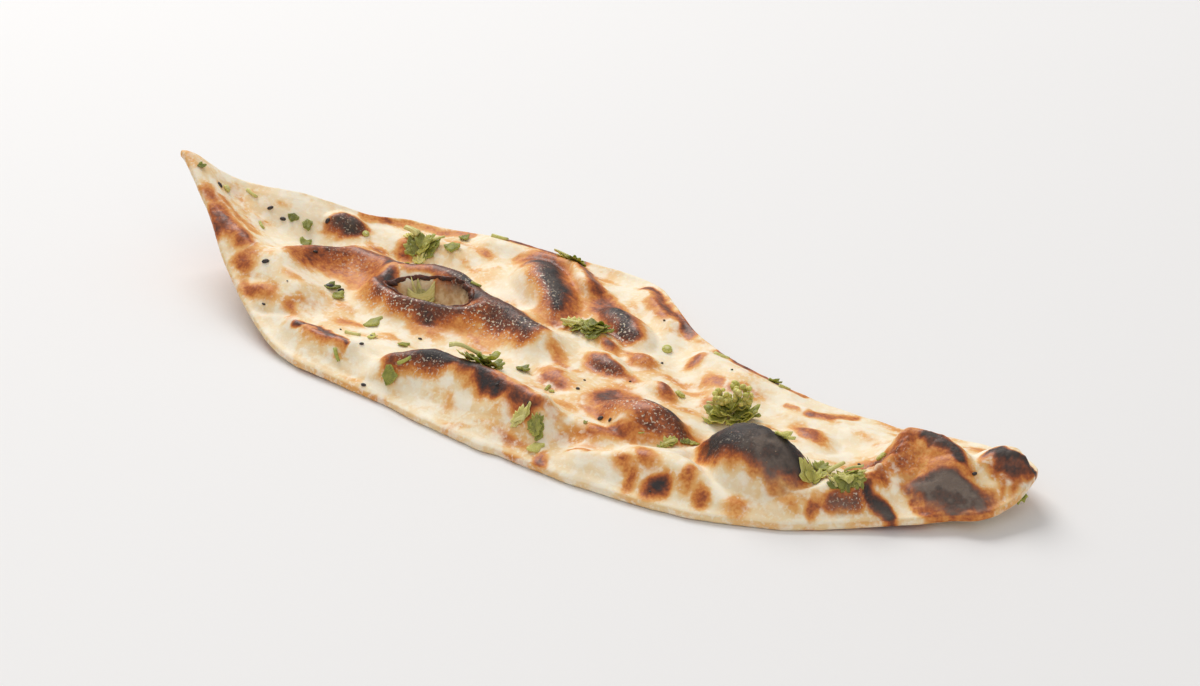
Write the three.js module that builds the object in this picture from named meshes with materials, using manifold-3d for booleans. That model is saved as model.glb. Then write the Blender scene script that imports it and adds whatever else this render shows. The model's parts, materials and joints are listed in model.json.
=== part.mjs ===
// One piece of tandoor-baked naan bread with chopped coriander on it.
// The piece was cut from a large leaf-shaped naan: one end is a thin point that curls up, the other is the
// bread's own puffed and charred rim. Units are millimetres, +Z is up, +X runs from the point to the rim,
// and the flat of the underside lies on Z = 0 with the origin under the middle of the piece.
import * as THREE from "three";
import { mergeVertices } from "three/addons/utils/BufferGeometryUtils.js";
import Module from "manifold-3d";

const wasm = await Module();
wasm.setup();

// Driving sizes
const POINT_X = -147;
const RIM_X = 147;
const POINT_LIFT = 30; // how far the point curls up off the table
const CURL_LENGTH = 78; // the stretch over which it curls
const CURL_POWER = 1.5;
const EDGE_THICKNESS = 2.2;
const THINNEST = 2.8;
const SHEET_THICKNESS = 4;
const PUFFED_THICKNESS = 8; // away from the edges, between the bubbles
const ROLL_WIDTH = 15; // how far in from an edge the bread reaches its puffed thickness
const SHOULDER_WIDTH = 9; // the slope from the edge's own rounding up to the relief
const ROUNDING_WIDTH = 3.2;
const ROUNDING_SHARE = 0.35; // share of the thickness that the edge's rounding reaches
const THIN_POINT = { from: -118, over: 40 }; // the point stays a thin sheet, then puffs over this stretch
const BACK_LIFT = { high: 8, wide: 26 }; // both edges and the rim stand a little off the table
const FRONT_LIFT = { high: 2.4, wide: 16 };
const RIM_LIFT = { high: 5, wide: 42 };
const BACK_LIFT_START = { from: -150, over: 45 };
const BACK_LIFT_END = { from: 10, over: 70, left: 0.5 }; // towards the rim only this share of it is left
const FRONT_WAVES = { size: 34, seed: 2, least: 0.4 };
const UNDER_WAVES = { size: 31, seed: 12, high: 0.9, below: 1.1 }; // below the table they are cut flat
const FOLD_END = { from: -70, over: 30 };

// Mesh density
const RIBS = 104; // steps from the point to the rim, twice the number on the underside
const ROWS = 30; // steps across
const CROWDING = 0.5; // how much closer the steps are near the edges
const COARSER = 2;
const RIB_ACCURACY = 1e-6;

// Both edges seen from above, from the point to the rim
const FRONT_EDGE = [
  [POINT_X, 5], [-140, 1.5], [-125, -7.5], [-106, -21], [-86, -32.5], [-73, -37.5], [-49, -42], [-24, -46],
  [5, -50], [34, -52.5], [55, -52.5], [77, -49.5], [96, -42.5], [113, -32], [131, -21], [140, -16.5],
  [145, -8], [RIM_X, 0],
];
const BACK_EDGE = [
  [POINT_X, 5], [-142, 10], [-134, 15], [-116, 24], [-97, 33], [-85, 43], [-66, 49], [-41, 52], [-18, 51.5],
  [-2, 50], [9, 45], [20, 35.5], [31, 27], [44, 21.5], [62, 17], [80, 14], [100, 13], [118, 15], [130, 14],
  [140, 10.5], [145.5, 5], [RIM_X, 0],
];

// Folds bend the whole sheet, underside too: a line, its half width and how far it rises
const FOLDS = [
  { line: [[-143, 5], [-130, -2], [-119, -7], [-104, -11], [-84, -16]], wide: 7, high: 4.5 },
  { line: [[-128, 9], [-112, 11], [-98, 14]], wide: 7, high: -4 },
];

// Ridges and valleys of the top face alone, on lines
const RIDGES = [
  { line: [[-97, -4], [-92, 6], [-86, 14], [-75, 12.5]], wide: 6, high: 4.6 }, // toasted ridge
  { line: [[-66, 9], [-54, 14], [-45, 14], [-33, 9], [-20, 4], [-7, -3]], wide: 6.2, high: 6.5 }, // scorched
  { line: [[-66, -1], [-53, -6], [-40, -3], [-30, 1]], wide: 4, high: 4.4 }, // front lip of the burst bubble
  { line: [[-56, 47], [-45, 48], [-35, 47], [-25, 44], [-12, 35]], wide: 4.6, high: 4.6 }, // back edge
  { line: [[-34, -36], [-25, -32], [-14, -31], [0, -34], [15, -39]], wide: 5.6, high: 6.4 }, // front ridge
  { line: [[19, -38], [31, -37], [46, -36]], wide: 4, high: 2.4 },
  { line: [[-76, -29], [-66, -31], [-53, -34]], wide: 3.6, high: 2.4 },
  { line: [[38, -47], [58, -44], [79, -42], [98, -36], [109, -29]], wide: 6.5, high: 3.4 }, // puffed front edge
  { line: [[2, 45], [8, 38], [20, 30]], wide: 4, high: 2.6 },
  { line: [[40, 19], [53, 15], [70, 12]], wide: 3.6, high: 2.4 },
  { line: [[112, -15], [113, -4], [121, -3], [130, -8]], wide: 5, high: 5.2 }, // crumpled peak on the rim
  { line: [[27, -43], [43, -38], [52, -31], [58, -24]], wide: 4, high: -3 }, // behind the puffed edge
  { line: [[63, -35], [75, -40], [86, -40], [97, -30]], wide: 3.2, high: -2.6 },
  { line: [[-76, 26], [-56, 27], [-40, 22], [-26, 14]], wide: 4.4, high: -2.4 },
  { line: [[-62, -15], [-36, -18], [-8, -14], [8, -20]], wide: 6, high: -2 },
  { line: [[28, 18], [38, 4], [50, -8], [60, -18]], wide: 6, high: -2.2 },
  { line: [[62, 0], [80, -3], [98, -8], [104, -18]], wide: 7, high: -2 },
];

// Bubbles of the top face: centre, half length, half width, height and turn from +X in degrees
const BUBBLES = [
  { at: [-25, 29], long: 22, wide: 8, high: 6, turn: -34 },
  { at: [10, 20], long: 14, wide: 6.5, high: 4.4, turn: -37 },
  { at: [14, 0], long: 11, wide: 5, high: 2.8, turn: -15 },
  { at: [7, 10], long: 7.5, wide: 4, high: 2.2, turn: -25 },
  { at: [23, 7], long: 6, wide: 3.6, high: 1.8, turn: 0 },
  { at: [37, -7], long: 8, wide: 4, high: 2.4, turn: -28 },
  { at: [8, -15], long: 10, wide: 5, high: 1.8, turn: -20 },
  { at: [44, -26], long: 16, wide: 8.5, high: 7.4, turn: -8 },
  { at: [79, -30], long: 18, wide: 9.5, high: 10.5, turn: 0 }, // the large blackened bubble
  { at: [85, -7], long: 9, wide: 6, high: 2.4, turn: -20 },
  { at: [-95, -24], long: 7, wide: 5, high: 1.4, turn: -20 },
  { at: [-66, 34], long: 15, wide: 7, high: 2, turn: 10 },
  { at: [-99, 26], long: 7, wide: 5.5, high: 2.6, turn: 30 },
  { at: [119, -7], long: 13, wide: 9, high: 5, turn: -14 },
  { at: [130, -16], long: 12, wide: 7, high: 3.8, turn: -4 },
  { at: [137, 1], long: 10, wide: 8, high: 5.2, turn: 10 },
  { at: [113, -26], long: 9, wide: 5, high: 2.8, turn: -20 },
  { at: [110, -20], long: 4, wide: 3.4, high: 2, turn: 15 },
];

// The torn top of the burst bubble: a dent with a floor of crumb
const BURST = { at: [-49, 4.5], long: 13, wide: 5.8, deep: 6.5, turn: 12, slope: { from: 0.35, over: 0.75 } };

// Slow unevenness of the dough: size of its waves and their height
const WAVES = [
  { size: 27, high: 1.1, seed: 3 },
  { size: 11, high: 0.55, seed: 8 },
];
const DOME_POWER = 1.15;
const WANDER = { size: 13, far: 1.7, seed: 5 }; // how ridges and bubbles stray from their true ellipses

// Coriander: thickness of a leaf and the gap that it keeps to the bread
const LEAF_THICKNESS = 0.6;
const LEAF_GAP = 0.45;
const LEAF_STEP = 1.4; // a leaf rests on the highest bread within this distance
const LEAF_POINTS = 30;
const LEAF_RINGS = [0.5, 1];
const FLECK_SIDES = 5;
const FLECK_SUNK = 0.5;
const FLECK_PROUD = 0.7;

// The sprigs large enough to pick up, each a separate piece. A leaf seen from above is a core with lobes,
// each given by its direction in degrees, its reach beyond the core and its half width in degrees.
const SPRIGS = {
  coriander_by_dark_bubble: {
    at: [62, -9], core: 3.2, curl: 3,
    lobes: [[25, 5.4, 17], [75, 5, 16], [125, 5.8, 18], [178, 6.2, 16], [232, 5, 17], [300, 4.6, 20]],
  },
  coriander_on_back_slope: {
    at: [-73, 32], core: 2.6, curl: 1.6,
    lobes: [[20, 3.4, 24], [100, 3, 22], [152, 7, 14], [285, 2.4, 30]],
  },
  coriander_long_leaf: {
    at: [-9, -27], core: 1.9, curl: 1,
    lobes: [[18, 5.6, 26], [70, 1.6, 20], [203, 8, 15]],
  },
  coriander_middle: {
    at: [0, 13], core: 2.2, curl: 1.2,
    lobes: [[-12, 6.6, 20], [60, 2.6, 20], [172, 6.4, 20], [240, 1.6, 24], [300, 2.4, 20]],
  },
  coriander_by_peak: {
    at: [102, -26], core: 2.2, curl: 1.6,
    lobes: [[0, 5, 18], [45, 3.4, 18], [128, 3.6, 22], [185, 5.8, 17], [300, 2.6, 26]],
  },
  coriander_stalk_slice: { at: [-49.5, 5], core: 1.8, curl: 0.4, lobes: [[16, 5.8, 20], [196, 5.8, 20]] },
  coriander_front_pair: { at: [17, -43.5], core: 1.5, curl: 1.2, lobes: [[-6, 3.8, 34], [186, 3.6, 34]] },
  coriander_on_back_edge: { at: [-27, 47], core: 1.6, curl: 0.8, lobes: [[-14, 3.8, 28], [166, 5, 16]] },
  coriander_in_valley: { at: [57.5, -30], core: 1.2, curl: 0.8, lobes: [[45, 4.4, 20], [215, 4.4, 20]] },
};

// Chopped bits fused to the bread: place, length and turn in degrees
const FLECKS = [
  [-138, 4, 3.2, 60], [-132, 8, 4, 20], [-127, 14, 4.4, -20], [-112, 16, 3.6, -70], [-107, 17, 5, -50],
  [-104, 12, 4.4, 80], [-117, 6, 3.6, -40], [-91, 26, 3, 20], [-79, -7, 5.4, 30], [-75, -9, 4.4, 0],
  [-63, 34, 5, -60], [-66, 45, 5, -40], [-54, 47, 5.4, 0], [-57, -15, 5.2, -30], [-56, -27, 4.6, 0],
  [-50, -25, 3.4, 20], [-55, -36, 4.4, -60], [-40, -23, 3.2, -30], [-33, -39, 5.6, 20], [-30, -36, 4.4, 30],
  [-38, 11, 3.4, 20], [-3, -16, 5.6, -20], [9, -22, 4.4, -80], [22, -47, 4, -50], [25, 18, 3.4, 10],
  [42, -4, 4, 0], [42, 20, 4.6, 10], [62, 15, 5, -10], [66, 14, 4, 50], [83, -14, 5, -50],
  [108, -10, 4, 10], [111, 8, 5, 0], [143, -3, 4.4, -60],
];

const clamp01 = (t) => Math.min(1, Math.max(0, t));
const smooth = (t) => clamp01(t) ** 2 * (3 - 2 * clamp01(t));
const mix = (a, b, t) => a + (b - a) * t;

// Smooth noise from -1 to 1 on a square lattice
function latticeValue(i, j, seed) {
  const s = Math.sin(i * 127.1 + j * 311.7 + seed * 74.7) * 43758.5453;
  return 2 * (s - Math.floor(s)) - 1;
}

function noise(x, y, seed) {
  const i = Math.floor(x);
  const j = Math.floor(y);
  const u = smooth(x - i);
  const v = smooth(y - j);
  return mix(
    mix(latticeValue(i, j, seed), latticeValue(i + 1, j, seed), u),
    mix(latticeValue(i, j + 1, seed), latticeValue(i + 1, j + 1, seed), u),
    v,
  );
}

function distanceToLine(x, y, line) {
  let nearest = Infinity;
  for (let k = 0; k + 1 < line.length; k++) {
    const [ax, ay] = line[k];
    const [bx, by] = line[k + 1];
    const along = ((x - ax) * (bx - ax) + (y - ay) * (by - ay)) / ((bx - ax) ** 2 + (by - ay) ** 2);
    const t = clamp01(along);
    nearest = Math.min(nearest, Math.hypot(x - mix(ax, bx, t), y - mix(ay, by, t)));
  }
  return nearest;
}

const onLine = (x, y, f) => f.high * Math.exp(-((distanceToLine(x, y, f.line) / f.wide) ** 2));

// Square of the distance from an ellipse's centre, 1 on its outline
function ellipseReach(x, y, e) {
  const a = THREE.MathUtils.degToRad(e.turn);
  const dx = x - e.at[0];
  const dy = y - e.at[1];
  const along = (dx * Math.cos(a) + dy * Math.sin(a)) / e.long;
  const across = (dy * Math.cos(a) - dx * Math.sin(a)) / e.wide;
  return along ** 2 + across ** 2;
}

const dome = (x, y, e) => e.high * Math.max(0, 1 - ellipseReach(x, y, e)) ** DOME_POWER;

const sum = (list, f) => list.reduce((total, item) => total + f(item), 0);

const rising = (x, { from, over }) => smooth((x - from) / over);
const nearEdge = (distance, lift) => lift.high * clamp01(1 - distance / lift.wide) ** 2;

// Height of the underside, at given distances from the front and the back edge
function undersideHeight(x, y, fromFront, fromBack) {
  const curl = POINT_LIFT * clamp01((POINT_X + CURL_LENGTH - x) / CURL_LENGTH) ** CURL_POWER;
  const rim = nearEdge(RIM_X - x, RIM_LIFT);
  const backShare = rising(x, BACK_LIFT_START) * mix(1, BACK_LIFT_END.left, rising(x, BACK_LIFT_END));
  const frontShare = mix(FRONT_WAVES.least, 1, noise(x / FRONT_WAVES.size, 0.5, FRONT_WAVES.seed) ** 2);
  const lifted = nearEdge(fromBack, BACK_LIFT) * backShare + nearEdge(fromFront, FRONT_LIFT) * frontShare;
  const folds = sum(FOLDS, (f) => onLine(x, y, f)) * (1 - rising(x, FOLD_END));
  const wave = UNDER_WAVES.high * noise(x / UNDER_WAVES.size, y / UNDER_WAVES.size, UNDER_WAVES.seed);
  return Math.max(0, curl + rim + lifted + folds + wave - UNDER_WAVES.below);
}

function thickness(x, y, fromFront, fromBack) {
  const wx = x + WANDER.far * noise(x / WANDER.size, y / WANDER.size, WANDER.seed);
  const wy = y + WANDER.far * noise(x / WANDER.size, y / WANDER.size, WANDER.seed + 1);
  const fromEdge = Math.min(fromFront, fromBack);
  const roll = smooth(fromEdge / ROLL_WIDTH) * rising(x, THIN_POINT);
  const torn = 1 - rising(ellipseReach(wx, wy, BURST), BURST.slope);
  const raised = sum(RIDGES, (f) => onLine(wx, wy, f)) + sum(BUBBLES, (e) => dome(wx, wy, e));
  const relief = raised - BURST.deep * torn;
  const uneven = sum(WAVES, (w) => w.high * noise(x / w.size, y / w.size, w.seed));
  const whole = Math.max(THINNEST, mix(SHEET_THICKNESS, PUFFED_THICKNESS, roll) + relief + uneven);
  const shoulder = mix(ROUNDING_SHARE, 1, smooth(fromEdge / SHOULDER_WIDTH));
  return mix(EDGE_THICKNESS, whole, Math.sqrt(clamp01(fromEdge / ROUNDING_WIDTH)) * shoulder);
}

const edgeCurve = (points) =>
  new THREE.CatmullRomCurve3(points.map(([x, y]) => new THREE.Vector3(x, y, 0)), false, "catmullrom", 0.5);
const frontCurve = edgeCurve(FRONT_EDGE);
const backCurve = edgeCurve(BACK_EDGE);

// A point of the bread, at share u from the point to the rim and share v from the front edge to the back one
function breadPoint(u, v, isTop) {
  const front = frontCurve.getPointAt(u);
  const back = backCurve.getPointAt(u);
  const p = front.clone().lerp(back, v);
  const fromFront = p.distanceTo(front);
  const fromBack = p.distanceTo(back);
  const under = undersideHeight(p.x, p.y, fromFront, fromBack);
  const z = under + (isTop ? thickness(p.x, p.y, fromFront, fromBack) : 0);
  return [p.x, p.y, z];
}

const crowded = (t) => mix(t, (1 - Math.cos(Math.PI * t)) / 2, CROWDING);

// One face of the bread as rows of vertex numbers. At both ends a rib shrinks to one vertex.
function faceGrid(vertices, ribs, rows, isTop) {
  const grid = [];
  for (let i = 0; i <= ribs; i++) {
    const ends = i === 0 || i === ribs;
    const rib = [];
    for (let j = 0; j <= rows; j++) {
      if (j === 0 || !ends) vertices.push(breadPoint(crowded(i / ribs), crowded(j / rows), isTop));
      rib.push(vertices.length - 1);
    }
    grid.push(rib);
  }
  return grid;
}

function addTriangle(triangles, a, b, c) {
  if (a !== b && b !== c && c !== a) triangles.push(a, b, c);
}

// Each cell is split along its shorter diagonal, which follows the ridges
function addFace(vertices, triangles, grid, facesUp) {
  const length = (p, q) => Math.hypot(...vertices[p].map((value, k) => value - vertices[q][k]));
  for (let i = 0; i + 1 < grid.length; i++)
    for (let j = 0; j + 1 < grid[0].length; j++) {
      const [a, b, c, d] = [grid[i][j], grid[i + 1][j], grid[i + 1][j + 1], grid[i][j + 1]];
      const halves = length(a, c) < length(b, d) ? [[a, b, c], [a, c, d]] : [[a, b, d], [b, c, d]];
      for (const [p, q, r] of halves)
        if (facesUp) addTriangle(triangles, p, q, r);
        else addTriangle(triangles, p, r, q);
    }
}

// The wall between the top's fine edge and the underside's coarse one
function addWall(triangles, fine, coarse, turned) {
  const add = (a, b, c) => (turned ? addTriangle(triangles, a, c, b) : addTriangle(triangles, a, b, c));
  for (let i = 0; i + 1 < coarse.length; i++) {
    const low = coarse[i];
    for (let k = 0; k < COARSER; k++) add(low, fine[i * COARSER + k + 1], fine[i * COARSER + k]);
    add(low, coarse[i + 1], fine[(i + 1) * COARSER]);
  }
}

function solid(vertices, triangles) {
  return new wasm.Manifold(
    new wasm.Mesh({
      numProp: 3,
      vertProperties: new Float32Array(vertices.flat()),
      triVerts: new Uint32Array(triangles),
    }),
  );
}

function makeBread() {
  const vertices = [];
  const triangles = [];
  const top = faceGrid(vertices, RIBS, ROWS, true);
  const under = faceGrid(vertices, RIBS / COARSER, ROWS / COARSER, false);
  addFace(vertices, triangles, top, true);
  addFace(vertices, triangles, under, false);
  addWall(triangles, top.map((rib) => rib[0]), under.map((rib) => rib[0]), false);
  addWall(triangles, top.map((rib) => rib[ROWS]), under.map((rib) => rib[ROWS / COARSER]), true);
  return solid(vertices, triangles);
}

// Height of the top face at a plan point: halving finds the rib that passes through it
function topHeight(x, y) {
  let low = 0;
  let high = 1;
  while (high - low > RIB_ACCURACY) {
    const u = (low + high) / 2;
    const front = frontCurve.getPointAt(u);
    const back = backCurve.getPointAt(u);
    const side = (back.x - front.x) * (y - front.y) - (back.y - front.y) * (x - front.x);
    if (side < 0) low = u;
    else high = u;
  }
  const front = frontCurve.getPointAt(low);
  const back = backCurve.getPointAt(low);
  const fromFront = Math.hypot(x - front.x, y - front.y);
  const fromBack = Math.hypot(x - back.x, y - back.y);
  return undersideHeight(x, y, fromFront, fromBack) + thickness(x, y, fromFront, fromBack);
}

function restHeight(x, y) {
  const steps = [-LEAF_STEP, 0, LEAF_STEP];
  return Math.max(...steps.flatMap((dx) => steps.map((dy) => topHeight(x + dx, y + dy))));
}

// A thin plate whose two faces are split alike. rings run from its middle outwards, all with as many points.
function plate(centre, rings, heightAt, thick) {
  const vertices = [];
  const triangles = [];
  const around = rings[0].length;
  const layers = [0, thick].map((up) => {
    const first = vertices.length;
    for (const [x, y] of [centre, ...rings.flat()]) vertices.push([x, y, heightAt(x, y) + up]);
    return first;
  });
  layers.forEach((first, layer) => {
    const add = (a, b, c) => {
      const [second, third] = layer ? [b, c] : [c, b];
      triangles.push(first + a, first + second, first + third);
    };
    for (let k = 0; k < around; k++) {
      const next = (k + 1) % around;
      add(0, 1 + k, 1 + next);
      for (let r = 0; r + 1 < rings.length; r++) {
        const inner = 1 + r * around;
        const outer = inner + around;
        add(inner + k, outer + k, outer + next);
        add(inner + k, outer + next, inner + next);
      }
    }
  });
  const rimStart = 1 + (rings.length - 1) * around;
  for (let k = 0; k < around; k++) {
    const a = layers[0] + rimStart + k;
    const b = layers[0] + rimStart + ((k + 1) % around);
    const up = layers[1] - layers[0];
    triangles.push(a, b, b + up, a, b + up, a + up);
  }
  return solid(vertices, triangles);
}

function sprig({ at, core, lobes, curl }) {
  const reach = (turn) =>
    core +
    sum(lobes, ([direction, far, wide]) => {
      const off = ((turn - direction + 540) % 360) - 180;
      return far * Math.exp(-((off / wide) ** 2));
    });
  const ring = (share) =>
    Array.from({ length: LEAF_POINTS }, (_, k) => {
      const turn = (360 * k) / LEAF_POINTS;
      const angle = THREE.MathUtils.degToRad(turn);
      return [at[0] + share * reach(turn) * Math.cos(angle), at[1] + share * reach(turn) * Math.sin(angle)];
    });
  const widest = core + Math.max(...lobes.map((lobe) => lobe[1]));
  const heightAt = (x, y) =>
    restHeight(x, y) + LEAF_GAP + curl * clamp01(Math.hypot(x - at[0], y - at[1]) / widest) ** 2;
  return plate(at, LEAF_RINGS.map(ring), heightAt, LEAF_THICKNESS);
}

function fleck([x, y, length, turn]) {
  const a = THREE.MathUtils.degToRad(turn);
  const ring = Array.from({ length: FLECK_SIDES }, (_, k) => {
    const angle = (2 * Math.PI * k) / FLECK_SIDES;
    const along = (length / 2) * Math.cos(angle);
    const across = (length / 4) * Math.sin(angle);
    return [x + along * Math.cos(a) - across * Math.sin(a), y + along * Math.sin(a) + across * Math.cos(a)];
  });
  return plate([x, y], [ring], (px, py) => topHeight(px, py) - FLECK_SUNK, FLECK_SUNK + FLECK_PROUD);
}

function geometryOf(manifold) {
  const mesh = manifold.getMesh();
  const positions = new Float32Array(mesh.triVerts.length * 3);
  mesh.triVerts.forEach((vertex, k) => {
    for (let c = 0; c < 3; c++) positions[3 * k + c] = mesh.vertProperties[vertex * mesh.numProp + c];
  });
  const loose = new THREE.BufferGeometry().setAttribute("position", new THREE.BufferAttribute(positions, 3));
  const joined = mergeVertices(loose, 1e-4);
  joined.computeVertexNormals();
  return joined;
}

function namedMesh(name, manifold, material) {
  const mesh = new THREE.Mesh(geometryOf(manifold), material);
  mesh.name = name;
  return mesh;
}

const crust = new THREE.MeshStandardMaterial({ color: 0xe9cfa0, roughness: 0.7, metalness: 0 });
const leafGreen = new THREE.MeshStandardMaterial({ color: 0x5f7a2e, roughness: 0.6, metalness: 0 });

const piece = new THREE.Group();

const flecks = FLECKS.map(fleck);
const bread = flecks.reduce((whole, bit) => whole.add(bit), makeBread());
piece.add(namedMesh("naan", bread, crust));

for (const [name, shape] of Object.entries(SPRIGS)) piece.add(namedMesh(name, sprig(shape), leafGreen));

export default piece;
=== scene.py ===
# %% [markdown]
# One piece of tandoor-baked naan, scattered with chopped coriander. This lesson loads the solids that fix
# its size and then gives them their baked look: a finely modelled crust with its scorch marks, dusting
# flour, seeds and real leaves. Lengths are written in millimetres, as a baker would measure them, and MM
# makes them metres.

# %% The frame
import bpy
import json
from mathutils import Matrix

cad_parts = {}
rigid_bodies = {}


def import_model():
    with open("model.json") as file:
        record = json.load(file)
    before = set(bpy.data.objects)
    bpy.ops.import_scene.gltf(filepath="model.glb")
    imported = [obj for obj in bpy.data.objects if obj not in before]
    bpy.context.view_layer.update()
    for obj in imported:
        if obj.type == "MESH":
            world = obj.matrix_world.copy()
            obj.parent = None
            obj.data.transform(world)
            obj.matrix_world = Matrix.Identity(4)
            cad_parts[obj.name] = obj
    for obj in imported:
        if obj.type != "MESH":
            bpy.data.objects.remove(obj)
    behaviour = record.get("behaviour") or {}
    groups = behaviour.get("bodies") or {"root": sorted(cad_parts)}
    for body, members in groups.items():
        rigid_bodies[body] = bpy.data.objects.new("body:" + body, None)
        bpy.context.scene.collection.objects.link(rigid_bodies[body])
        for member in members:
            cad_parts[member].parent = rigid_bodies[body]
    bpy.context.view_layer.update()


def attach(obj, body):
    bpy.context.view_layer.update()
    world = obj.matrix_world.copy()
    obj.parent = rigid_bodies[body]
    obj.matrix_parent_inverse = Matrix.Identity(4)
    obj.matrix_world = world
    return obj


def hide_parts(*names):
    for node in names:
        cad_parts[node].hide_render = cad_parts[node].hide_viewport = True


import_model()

# %% Libraries and units
import json
import math

import bpy
import numpy as np
from mathutils import Vector
from mathutils.bvhtree import BVHTree

MM = 0.001

# %% [markdown]
# A camera comes first, because every later choice is judged through it. It looks down on the table by
# about 28 degrees, slightly from the right of the bread's front, through a long lens that keeps the
# bread's proportions.

# %% Camera
LOOK_AT = Vector((0, 21 * MM, 0))
CAMERA_AZIMUTH = 32
CAMERA_ELEVATION = 27.5
CAMERA_DISTANCE = 690 * MM
CAMERA_LENS = 69


def direction(azimuth, elevation):
    """Unit vector from the bread towards a stand at this azimuth and elevation, in degrees"""
    a, e = math.radians(azimuth), math.radians(elevation)
    return Vector((math.sin(a) * math.cos(e), -math.cos(a) * math.cos(e), math.sin(e)))


def stand(name, data, target, azimuth, elevation, distance):
    """A camera or light that looks at target"""
    thing = bpy.data.objects.new(name, data)
    back = direction(azimuth, elevation)
    thing.location = target + distance * back
    thing.rotation_euler = (-back).to_track_quat("-Z", "Y").to_euler()
    bpy.context.collection.objects.link(thing)
    return thing


camera_data = bpy.data.cameras.new("camera")
camera_data.lens = CAMERA_LENS
camera_data.clip_start = 10 * MM
camera = stand("camera", camera_data, LOOK_AT, CAMERA_AZIMUTH, CAMERA_ELEVATION, CAMERA_DISTANCE)
bpy.context.scene.camera = camera
print("camera at", [round(1000 * c) for c in camera.location], "mm")

# %% [markdown]
# Bread is lit like a product on a white table: one broad soft light high up behind its left end, which
# draws the bubbles with soft shade on their near side, and a weak one from the front. The world adds an
# even glow. The standard view transform keeps white flour white, where a filmic one would turn the crust
# grey.

# %% Light, world and table
# Angles are in degrees and lengths in metres
KEY = {"azimuth": -125, "elevation": 46, "watts": 44, "side": 1.5, "colour": (1, 0.98, 0.95)}
FILL = {"azimuth": 40, "elevation": 45, "watts": 11, "side": 2.3, "colour": (1, 0.96, 0.9)}
LIGHT_DISTANCE = 2.5
GLOW_COLOUR = (0.99, 0.98, 0.97, 1)
GLOW_STRENGTH = 0.46
TABLE_COLOUR = (0.84, 0.84, 0.85, 1)
TABLE_SIDE = 8
TABLE_DROP = 0.1 * MM
TABLE_ROUGHNESS = 0.7


def soft_light(name, lamp):
    data = bpy.data.lights.new(name, "AREA")
    data.shape = "SQUARE"
    data.size = lamp["side"]
    data.energy = lamp["watts"]
    data.color = lamp["colour"]
    return stand(name, data, Vector(), lamp["azimuth"], lamp["elevation"], LIGHT_DISTANCE)


soft_light("key_light", KEY)
soft_light("fill_light", FILL)

world = bpy.data.worlds.new("glow")
bpy.context.scene.world = world
world.use_nodes = True
glow = world.node_tree.nodes["Background"]
glow.inputs["Color"].default_value = GLOW_COLOUR
glow.inputs["Strength"].default_value = GLOW_STRENGTH
bpy.context.scene.view_settings.view_transform = "Standard"

half_side = TABLE_SIDE / 2
corners = [(x, y, -TABLE_DROP) for x, y in ((-1, -1), (1, -1), (1, 1), (-1, 1))]
corners = [(x * half_side, y * half_side, z) for x, y, z in corners]
table_mesh = bpy.data.meshes.new("table")
table_mesh.from_pydata(corners, [], [(0, 1, 2, 3)])
table_material = bpy.data.materials.new("pale_table")
table_material.use_nodes = True
table_shader = table_material.node_tree.nodes["Principled BSDF"]
table_shader.inputs["Base Color"].default_value = TABLE_COLOUR
table_shader.inputs["Roughness"].default_value = TABLE_ROUGHNESS
table_mesh.materials.append(table_material)
table = bpy.data.objects.new("table", table_mesh)
bpy.context.collection.objects.link(table)
print("two lights and a table", TABLE_SIDE, "m wide")

# %% [markdown]
# Dough is uneven at every size, and smooth noise is the simplest way to say so. This noise is a sum of
# nothing but sines and steps, so it gives the same waves on every run and the same ones as the solids
# have.

# %% Smooth steps and noise
SCATTER = (127.1, 311.7, 74.7)  # uneven numbers, so that neighbouring lattice points don't look alike
SCATTER_SCALE = 43758.5453


def smooth(t):
    t = np.clip(t, 0, 1)
    return t * t * (3 - 2 * t)


def mix(a, b, t):
    return a + (b - a) * t


def lattice_value(i, j, seed):
    s = np.sin(i * SCATTER[0] + j * SCATTER[1] + seed * SCATTER[2]) * SCATTER_SCALE
    return 2 * (s - np.floor(s)) - 1


def noise(x, y, seed):
    """Smooth noise from -1 to 1 on a square lattice of side 1"""
    i, j = np.floor(x), np.floor(y)
    u, v = smooth(x - i), smooth(y - j)
    near = mix(lattice_value(i, j, seed), lattice_value(i + 1, j, seed), u)
    far = mix(lattice_value(i, j + 1, seed), lattice_value(i + 1, j + 1, seed), u)
    return mix(near, far, v)


print("noise at a few places", np.round(noise(np.arange(3) + 0.5, 0.5, 1), 2))

# %% [markdown]
# Seen from above, the piece is a long leaf: a thin point at one end, the bread's own puffed rim at the
# other. Two smooth curves, the front and the back edge, are all that its outline needs. Ribs join the two
# at equal shares of their lengths, and lie closer near both ends.

# %% Outline
POINT_X = -147
RIM_X = 147
SPAN_STEPS = 40
FRONT_EDGE = [
    (POINT_X, 5), (-140, 1.5), (-125, -7.5), (-106, -21), (-86, -32.5), (-73, -37.5), (-49, -42),
    (-24, -46), (5, -50), (34, -52.5), (55, -52.5), (77, -49.5), (96, -42.5), (113, -32), (131, -21),
    (140, -16.5), (145, -8), (RIM_X, 0),
]
BACK_EDGE = [
    (POINT_X, 5), (-142, 10), (-134, 15), (-116, 24), (-97, 33), (-85, 43), (-66, 49), (-41, 52),
    (-18, 51.5), (-2, 50), (9, 45), (20, 35.5), (31, 27), (44, 21.5), (62, 17), (80, 14), (100, 13),
    (118, 15), (130, 14), (140, 10.5), (145.5, 5), (RIM_X, 0),
]


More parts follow.
